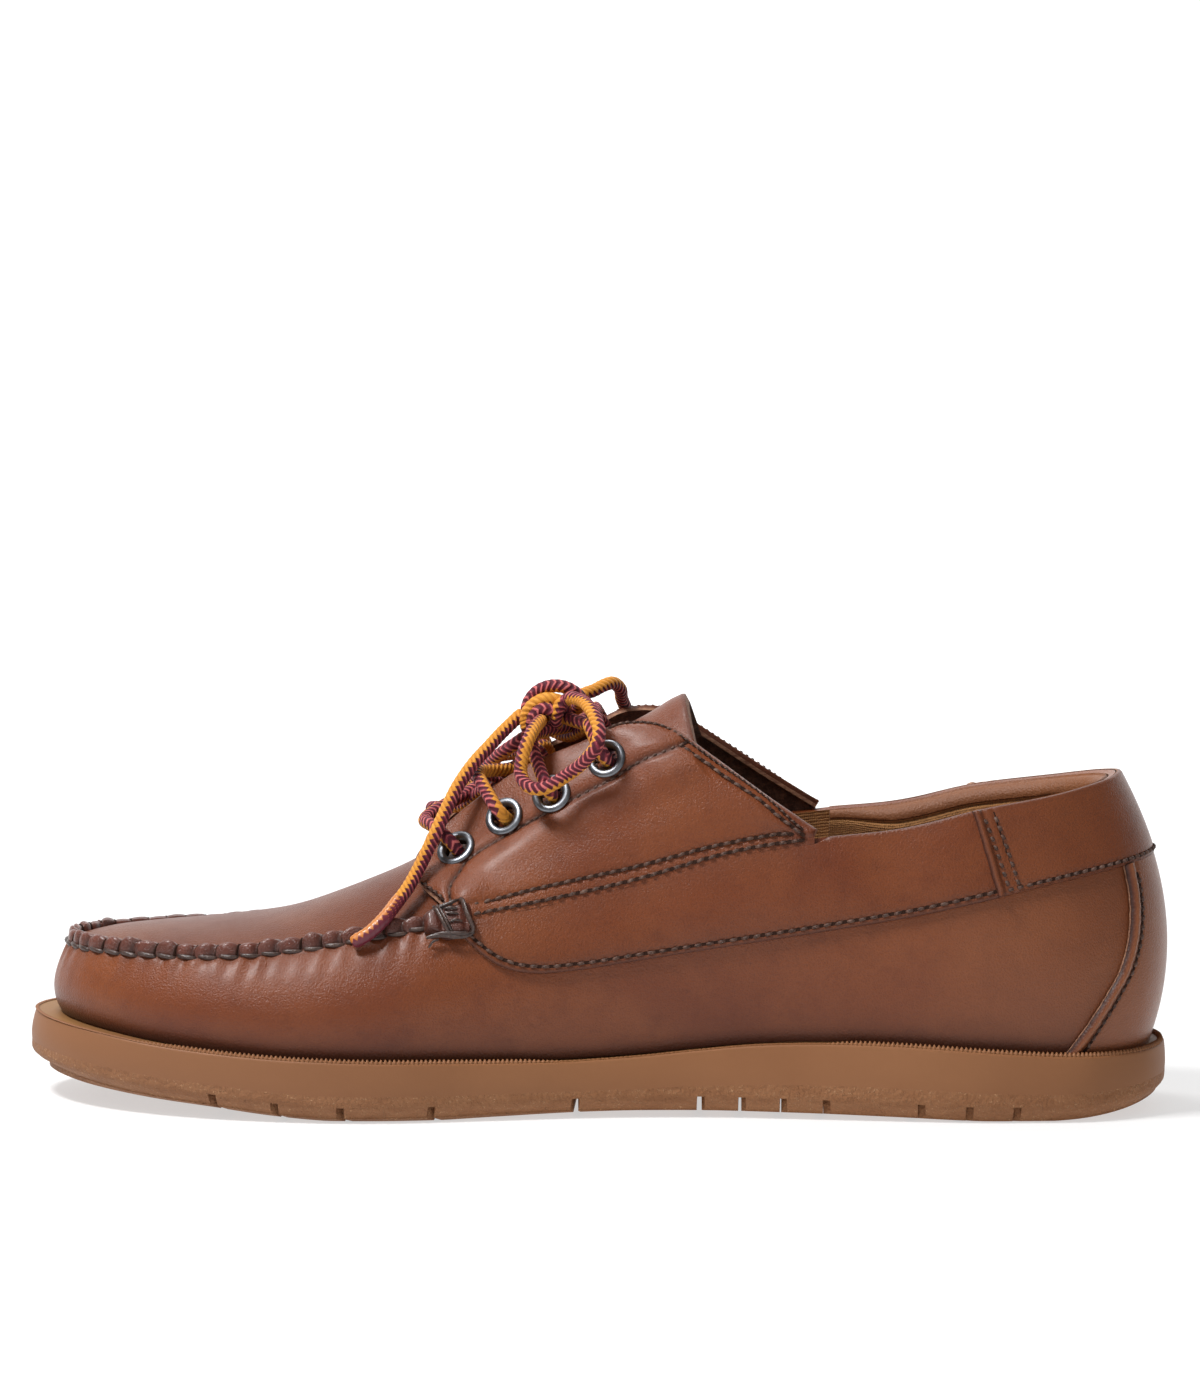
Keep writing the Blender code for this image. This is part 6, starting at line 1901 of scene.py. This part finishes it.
def make_collar(leather, lining):
    """Padded collar: a closed section carried round the heel, leather over the top of the roll
    and ribbed textile below it, with a tucked seam between the two.
    """
    end = place_of_x(COLLAR_END, 1)
    share = spread(230, 0.3)
    u = -end + 2 * end * share
    height = wall_height(u)
    taper = 0.35 + 0.65 * ramp(end - np.abs(u), 0.0, 0.03)
    corners = np.array(PAD_SECTION)
    closed = np.concatenate((corners[-3:], corners, corners[:4]))
    knots = np.arange(len(closed)) - 3.0
    at = np.linspace(0.0, len(corners), 44, endpoint=False)
    section_points = through(knots, closed, at) * MM
    inner_face = (at > 0.4) & (at < 5.6)
    seam = hump(at - 3.35, 0.16)
    puff = 0.0004 * np.exp(-((at - 4.2) / 0.8)**2) - 0.0010 * seam
    rings, lay = [], []
    for (inward, below), fuller in zip(section_points, puff):
        inward = 0.0024 + (inward + fuller - 0.0024) * taper
        rings.append(wall(u, 1.0 - below * (0.4 + 0.6 * taper) / height, -inward))
        lay.append(triples(u * 0.7, below))
    rings, lay = np.stack(rings, axis=1), np.stack(lay, axis=1)
    quads = grid_quads(len(u), len(at), wrap_across=True)
    part = quads[:, 0] % len(at)
    cloth = inner_face[part] & (at[part] < 3.35)
    # Painted shade in the tucked seam, over a slight dark tone everywhere.
    shade_and_dark_tone = 0.5 * seam + 0.1
    made = Surface().add(
        rings, [(quads[~cloth], 0), (quads[cloth], 1), (end_caps(*rings.shape[:2]), 1)],
        triples(shade_and_dark_tone, 0.25, 0.3), lay)
    made = made.piece("collar_roll", [leather, lining], "padding", ("collar_padding",))


# ---- rows of stitches

def row(surface, line, out, pitch, thick=FINE_THREAD, seed=0, **extra):
    """One row of stitches with its needle holes."""
    stitch_holes(surface, line, out, pitch, thick * 0.62)
    stitch_row(surface, line, out, pitch, thick, seed=seed, **extra)


def inset_line(edge, v, side, inward, lift):
    """Line on the wall behind a front edge, inward from it, and the direction out of it."""
    step = side * 0.01
    share = inward / size_of(wall(edge, v) - wall(edge - step, v))
    return normal_line(wall, edge - step * share, v, lift)


def make_side_seams(thread, hole):
    """Rows on the quarter bands and facings, as lines at fixed distances from their edges."""
    made = Surface()
    for side in (1, -1):
        seed = 10 if side > 0 else 30
        uu, vv = band_grid(side, 420, 12)[:2]
        height = wall_height(uu[:, 0])
        low = vv[:, 0] + BAND_ROW / height
        u = uu[:, 0]
        line, out = normal_line(wall, u, low, GAP + OVERLAY - 0.0002)
        keep = slice(4, -7)
        row(made, line[keep], out[keep], LONG_STITCH, seed=seed)
        front = wall(u, 1.0)[..., 0]
        part = (front > 0.0975) & (front < 0.1835)
        level_row = 1 - LOWER_ROW / height
        line, out = normal_line(wall, u, level_row, GAP + OVERLAY + 0.0002)
        row(made, line[part], out[part], LONG_STITCH, seed=seed + 1)
        for number, (line, out, _, pitch, thick, depth) in enumerate(facing_seams(side)):
            line = line - out * depth * 0.6
            row(made, line, out, pitch, thick, seed=seed + 2 + number, rise=0.4)
    made.piece("side_seams", [thread, hole], "leather", crease=70.0, weld=False)


def make_heel_seams(thread, hole):
    """Rows on the heel collar and the counter."""
    made = Surface()
    rows = 60
    edges = slanted_edge(COLLAR_FRONT, rows)
    start, end = edges[1] - 1.0, edges[0]
    u = np.linspace(start[0] + 0.003, end[0] - 0.003, 500)
    level_row = level_of_edge(u, band_low) + COLLAR_LAP + COLLAR_FOOT_ROW / wall_height(u)
    line, out = normal_line(wall, u, level_row, GAP + OVERLAY - 0.0002)
    row(made, line, out, SHORT_STITCH * 1.05, seed=50)
    for number, inward in enumerate(COLLAR_FRONT_ROWS):
        for side, edge in ((1, end), (-1, start)):
            low = level_of_edge(edge[:1], band_low)[0] + COLLAR_LAP
            v = np.linspace(low + 0.035, 0.965, rows)
            line, out = inset_line(edge, v, side, inward, GAP + OVERLAY - 0.0001)
            row(made, line, out, SHORT_STITCH, FINE_THREAD * 1.15, seed=52 + 2 * number + side)
    uu, vv, _ = counter_grid(120, 90)
    for side, k in ((1, -1), (-1, 0)):
        line, out = inset_line(uu[k], vv[k], side, COUNTER_ROW, GAP + COUNTER_THICK - 0.0001)
        row(made, line[2:-6], out[2:-6], SHORT_STITCH, seed=60 + side)
    made.piece("heel_seams", [thread, hole], "leather", crease=70.0, weld=False)


# ---- floor, lights and camera

def make_stage(finish):
    """Floor that rises behind the shoe in a soft curve: a profile carried from side to side."""
    turn = np.linspace(0.0, math.pi / 2, 24)
    back = np.concatenate(((4.0,), -3.0 - 1.5 * np.sin(turn), (-4.5,)))
    up = np.concatenate(((0.0,), 1.5 - 1.5 * np.cos(turn), (5.0,)))
    across = np.linspace(-6.0, 6.0, 24)
    grid = triples(across[None], back[:, None], up[:, None])
    mesh = bpy.data.meshes.new("floor")
    quads = grid_quads(len(back), len(across))
    mesh.from_pydata(grid.reshape(-1, 3).tolist(), [], quads.tolist())
    mesh.shade_smooth()
    mesh.materials.append(finish)
    show("floor", mesh)


def set_up(made, side, up, away, place):
    """Turns an object so that its own axes are side, up and away, and puts it at its place."""
    made.matrix_world = Matrix([[*row, 1.0] if k == 3 else [*row, 0.0] for k, row in enumerate(
        (side, up, away, place))]).transposed()


def add_lamp(name, place, size, power):
    """Soft light with four corners, that shines from its place at the shoe."""
    lamp = bpy.data.lights.new(name, "AREA")
    lamp.shape = "RECTANGLE"
    lamp.size, lamp.size_y = size
    lamp.energy = power
    away = unit(np.array(place) - LAMP_AIM)
    side = unit(np.cross(UP, away))
    set_up(show(name, lamp), side, np.cross(away, side), away, place)


ROOM_LIGHT = 0.22
LAMP_AIM = (0.0, 0.0, 0.05)
LAMPS = (  # place, size and power
    ("overhead", (0.28, -0.26, 1.28), (0.26, 0.24), 5.5),
    ("toe_side", (0.58, 0.42, 1.14), (0.38, 0.18), 18.0),
    ("front", (0.5, 3.6, 2.2), (2.6, 2.0), 12.0))
CAMERA_YAW, CAMERA_RISE, CAMERA_ROLL = 2.0, 8.0, 0.55
CAMERA_AIM = (0.1518, 0.0, 0.1082)
CAMERA_FROM = (0.150, 0.0, 0.050)
CAMERA_FAR = 1.7
FILM = 36.0
FOCAL = 6390.0 / 1384.0 * FILM


def make_camera():
    """Camera on a sphere round the shoe, looking at its aim and rolled a little."""
    a = math.radians(180 + CAMERA_YAW)
    e = math.radians(CAMERA_RISE)
    away = np.array((math.sin(a) * math.cos(e), -math.cos(a) * math.cos(e), math.sin(e)))
    place = np.array(CAMERA_FROM) + away * CAMERA_FAR
    forward = unit(np.array(CAMERA_AIM) - place)
    right = unit(np.cross(forward, UP))
    up = np.cross(right, forward)
    c, s = math.cos(math.radians(CAMERA_ROLL)), math.sin(math.radians(CAMERA_ROLL))
    lens = bpy.data.cameras.new("camera")
    lens.sensor_fit = "VERTICAL"
    lens.sensor_height = FILM
    lens.lens = FOCAL
    lens.clip_start, lens.clip_end = 0.05, 50.0
    made = show("camera", lens)
    set_up(made, c * right + s * up, c * up - s * right, -forward, tidy(place))
    bpy.context.scene.camera = made


def make_lights():
    """White room, a large soft light overhead towards the toe, and a weak one from the front."""
    world = bpy.data.worlds.new("white_room")
    world.use_nodes = True
    back = world.node_tree.nodes["Background"]
    back.inputs["Color"].default_value = (1.0, 1.0, 1.0, 1.0)
    back.inputs["Strength"].default_value = ROOM_LIGHT
    bpy.context.scene.world = world
    bpy.context.scene.view_settings.view_transform = "Standard"
    for lamp in LAMPS:
        add_lamp(*lamp)


# ---- the add-on

COLOUR = {"subtype": "COLOR", "size": 3, "min": 0.0, "max": 1.0}


class ShoeColours(bpy.types.PropertyGroup):
    """Colours that a user would change."""

    leather: bpy.props.FloatVectorProperty(
        name="Leather", description="Main brown of the polished leather",
        default=LEATHER_STOPS[0], **COLOUR)
    leather_light: bpy.props.FloatVectorProperty(
        name="Light leather", description="Paler clouds in the leather",
        default=LEATHER_STOPS[1], **COLOUR)
    leather_dark: bpy.props.FloatVectorProperty(
        name="Dark leather", description="Darker mottling in the leather",
        default=LEATHER_STOPS[2], **COLOUR)


class ShoeSizes(bpy.types.PropertyGroup):
    """Sizes that a user would change."""

    gloss: bpy.props.FloatProperty(
        name="Leather roughness", description="Roughness of the polished leather",
        default=0.31, min=0.1, max=0.9, subtype="FACTOR")


@functools.lru_cache(None)
def finishes():
    """Every finish by name, made once from the colours in the scene."""
    colours = bpy.context.scene.shoe_colours
    gloss = bpy.context.scene.shoe_sizes.gloss
    stops = tuple(tuple(c) for c in (
        colours.leather, colours.leather_light, colours.leather_dark))
    return {
        "leather": leather_finish("polished_leather", stops, gloss),
        "seam_leather": leather_finish(
            "seam_leather", SEAM_STOPS, gloss - 0.10, coat=0.5, grain=1.3, shine=0.30),
        "plug_leather": leather_finish("plug_leather", PLUG_STOPS, gloss, coat=0.0, shine=0.13),
        "collar_leather": leather_finish("collar_leather", COLLAR_STOPS, gloss + 0.08, coat=0.0),
        "edge": raw_edge_finish(),
        "suede": suede_finish(),
        "lining": lining_finish(),
        "thread": thread_finish("waxed_thread", 0.0),
        # Darker copy of the waxed thread: painted shade on the thick thread of the raised seam and
        # tacks.
        "seam_thread": thread_finish("seam_thread", 0.50),
        "hole": hole_shade_finish(),
        "lace": lace_finish(),
        "rubber": rubber_finish("gum_rubber", False),
        "rubber_band": rubber_finish("stippled_gum_rubber", True),
        "metal": metal_finish(),
        "insole": insole_finish(),
    }


def leather_set():
    """Finishes of a leather sheet: its face, its cut edge and its flesh side."""
    return [finishes()[name] for name in ("leather", "edge", "suede")]


class SHOE_OT_camera(bpy.types.Operator):
    """Sets the camera, the lights and the pale floor"""

    bl_idname = "shoe.camera"
    bl_label = "Camera and lights"

    def execute(self, context):
        make_camera()
        make_lights()
        make_stage(floor_finish())
        return {"FINISHED"}


class SHOE_OT_free_laces(bpy.types.Operator):
    """Makes the loops of the bow and the two free ends"""

    bl_idname = "shoe.free_laces"
    bl_label = "Bow and lace ends"

    def execute(self, context):
        make_free_laces([finishes()["lace"]])
        return {"FINISHED"}


class SHOE_OT_lacing(bpy.types.Operator):
    """Makes the laces through the eyelets and the turns of the knot"""

    bl_idname = "shoe.lacing"
    bl_label = "Lacing and knot"

    def execute(self, context):
        make_lacing([finishes()["lace"]])
        make_knot([finishes()["lace"]])
        return {"FINISHED"}


class SHOE_OT_sole(bpy.types.Operator):
    """Makes the gum rubber sole and its toothed welt"""

    bl_idname = "shoe.sole"
    bl_label = "Sole"

    def execute(self, context):
        look = finishes()
        make_sole(look["rubber"], look["rubber_band"])
        make_welt(look["rubber"])
        return {"FINISHED"}


class SHOE_OT_insole(bpy.types.Operator):
    """Makes the sock inside the shoe"""

    bl_idname = "shoe.insole"
    bl_label = "Insole"

    def execute(self, context):
        make_insole(finishes()["insole"])
        return {"FINISHED"}


class SHOE_OT_upper(bpy.types.Operator):
    """Makes the wall of the upper and the plug"""

    bl_idname = "shoe.upper"
    bl_label = "Vamp, quarters and plug"

    def execute(self, context):
        look = finishes()
        make_wall(look["leather"], look["lining"])
        make_plug(look["plug_leather"], look["lining"])
        return {"FINISHED"}


class SHOE_OT_moc_seam(bpy.types.Operator):
    """Makes the beads, the thread and the tacks of the raised seam"""

    bl_idname = "shoe.moc_seam"
    bl_label = "Seam round the plug"

    def execute(self, context):
        look = finishes()
        make_beads(look["seam_leather"])
        make_seam_thread(look["seam_thread"], look["hole"])
        make_tacks(look["seam_leather"], look["seam_thread"])
        return {"FINISHED"}


class SHOE_OT_bands(bpy.types.Operator):
    """Makes the two quarter bands"""

    bl_idname = "shoe.bands"
    bl_label = "Quarter bands"

    def execute(self, context):
        make_bands(leather_set())
        return {"FINISHED"}


class SHOE_OT_heel(bpy.types.Operator):
    """Makes the heel collar and the heel counter"""

    bl_idname = "shoe.heel"
    bl_label = "Heel collar and counter"

    def execute(self, context):
        make_heel_collar(leather_set())
        make_counter(leather_set())
        return {"FINISHED"}


class SHOE_OT_facings(bpy.types.Operator):
    """Makes the two facings with their eyelet holes"""

    bl_idname = "shoe.facings"
    bl_label = "Lace facings"

    def execute(self, context):
        make_facings(leather_set())
        return {"FINISHED"}


class SHOE_OT_eyelets(bpy.types.Operator):
    """Makes the eight eyelets"""

    bl_idname = "shoe.eyelets"
    bl_label = "Eyelets"

    def execute(self, context):
        make_eyelets(finishes()["metal"], finishes()["hole"])
        return {"FINISHED"}


class SHOE_OT_tongue(bpy.types.Operator):
    """Makes the tongue"""

    bl_idname = "shoe.tongue"
    bl_label = "Tongue"

    def execute(self, context):
        make_tongue(leather_set())
        return {"FINISHED"}


class SHOE_OT_collar(bpy.types.Operator):
    """Makes the padded roll and its lining"""

    bl_idname = "shoe.collar"
    bl_label = "Padded collar"

    def execute(self, context):
        look = finishes()
        make_collar(look["collar_leather"], look["lining"])
        return {"FINISHED"}


class SHOE_OT_seams(bpy.types.Operator):
    """Makes every row of fine stitches"""

    bl_idname = "shoe.seams"
    bl_label = "Rows of stitches"

    def execute(self, context):
        look = finishes()
        make_side_seams(look["thread"], look["hole"])
        make_heel_seams(look["thread"], look["hole"])
        return {"FINISHED"}


OPERATORS = (
    SHOE_OT_camera, SHOE_OT_free_laces, SHOE_OT_lacing, SHOE_OT_sole, SHOE_OT_insole,
    SHOE_OT_upper, SHOE_OT_moc_seam, SHOE_OT_bands, SHOE_OT_heel, SHOE_OT_facings,
    SHOE_OT_eyelets, SHOE_OT_tongue, SHOE_OT_collar, SHOE_OT_seams)


class SHOE_PT_panel(bpy.types.Panel):
    """Buttons and colours in the 3D view's sidebar."""

    bl_idname = "SHOE_PT_panel"
    bl_label = "Blucher Moccasin"
    bl_space_type = "VIEW_3D"
    bl_region_type = "UI"
    bl_category = "Moccasin"

    def draw(self, context):
        """Lists the colours, the sizes and one button for each operator."""
        for group in (context.scene.shoe_colours, context.scene.shoe_sizes):
            for name in group.__annotations__:
                self.layout.prop(group, name)
        for operator in OPERATORS:
            self.layout.operator(operator.bl_idname)


CLASSES = (ShoeColours, ShoeSizes, *OPERATORS, SHOE_PT_panel)


def register():
    """Registers the classes and hangs the two groups on the scene."""
    for item in CLASSES:
        bpy.utils.register_class(item)
    bpy.types.Scene.shoe_colours = bpy.props.PointerProperty(type=ShoeColours)
    bpy.types.Scene.shoe_sizes = bpy.props.PointerProperty(type=ShoeSizes)


def unregister():
    """Takes the groups and the classes away again."""
    del bpy.types.Scene.shoe_sizes
    del bpy.types.Scene.shoe_colours
    for item in reversed(CLASSES):
        bpy.utils.unregister_class(item)


def main():
    """Makes every piece in order."""
    register()
    for operator in OPERATORS:
        group, name = operator.bl_idname.split(".")
        getattr(getattr(bpy.ops, group), name)()


if __name__ == "__main__":
    main()
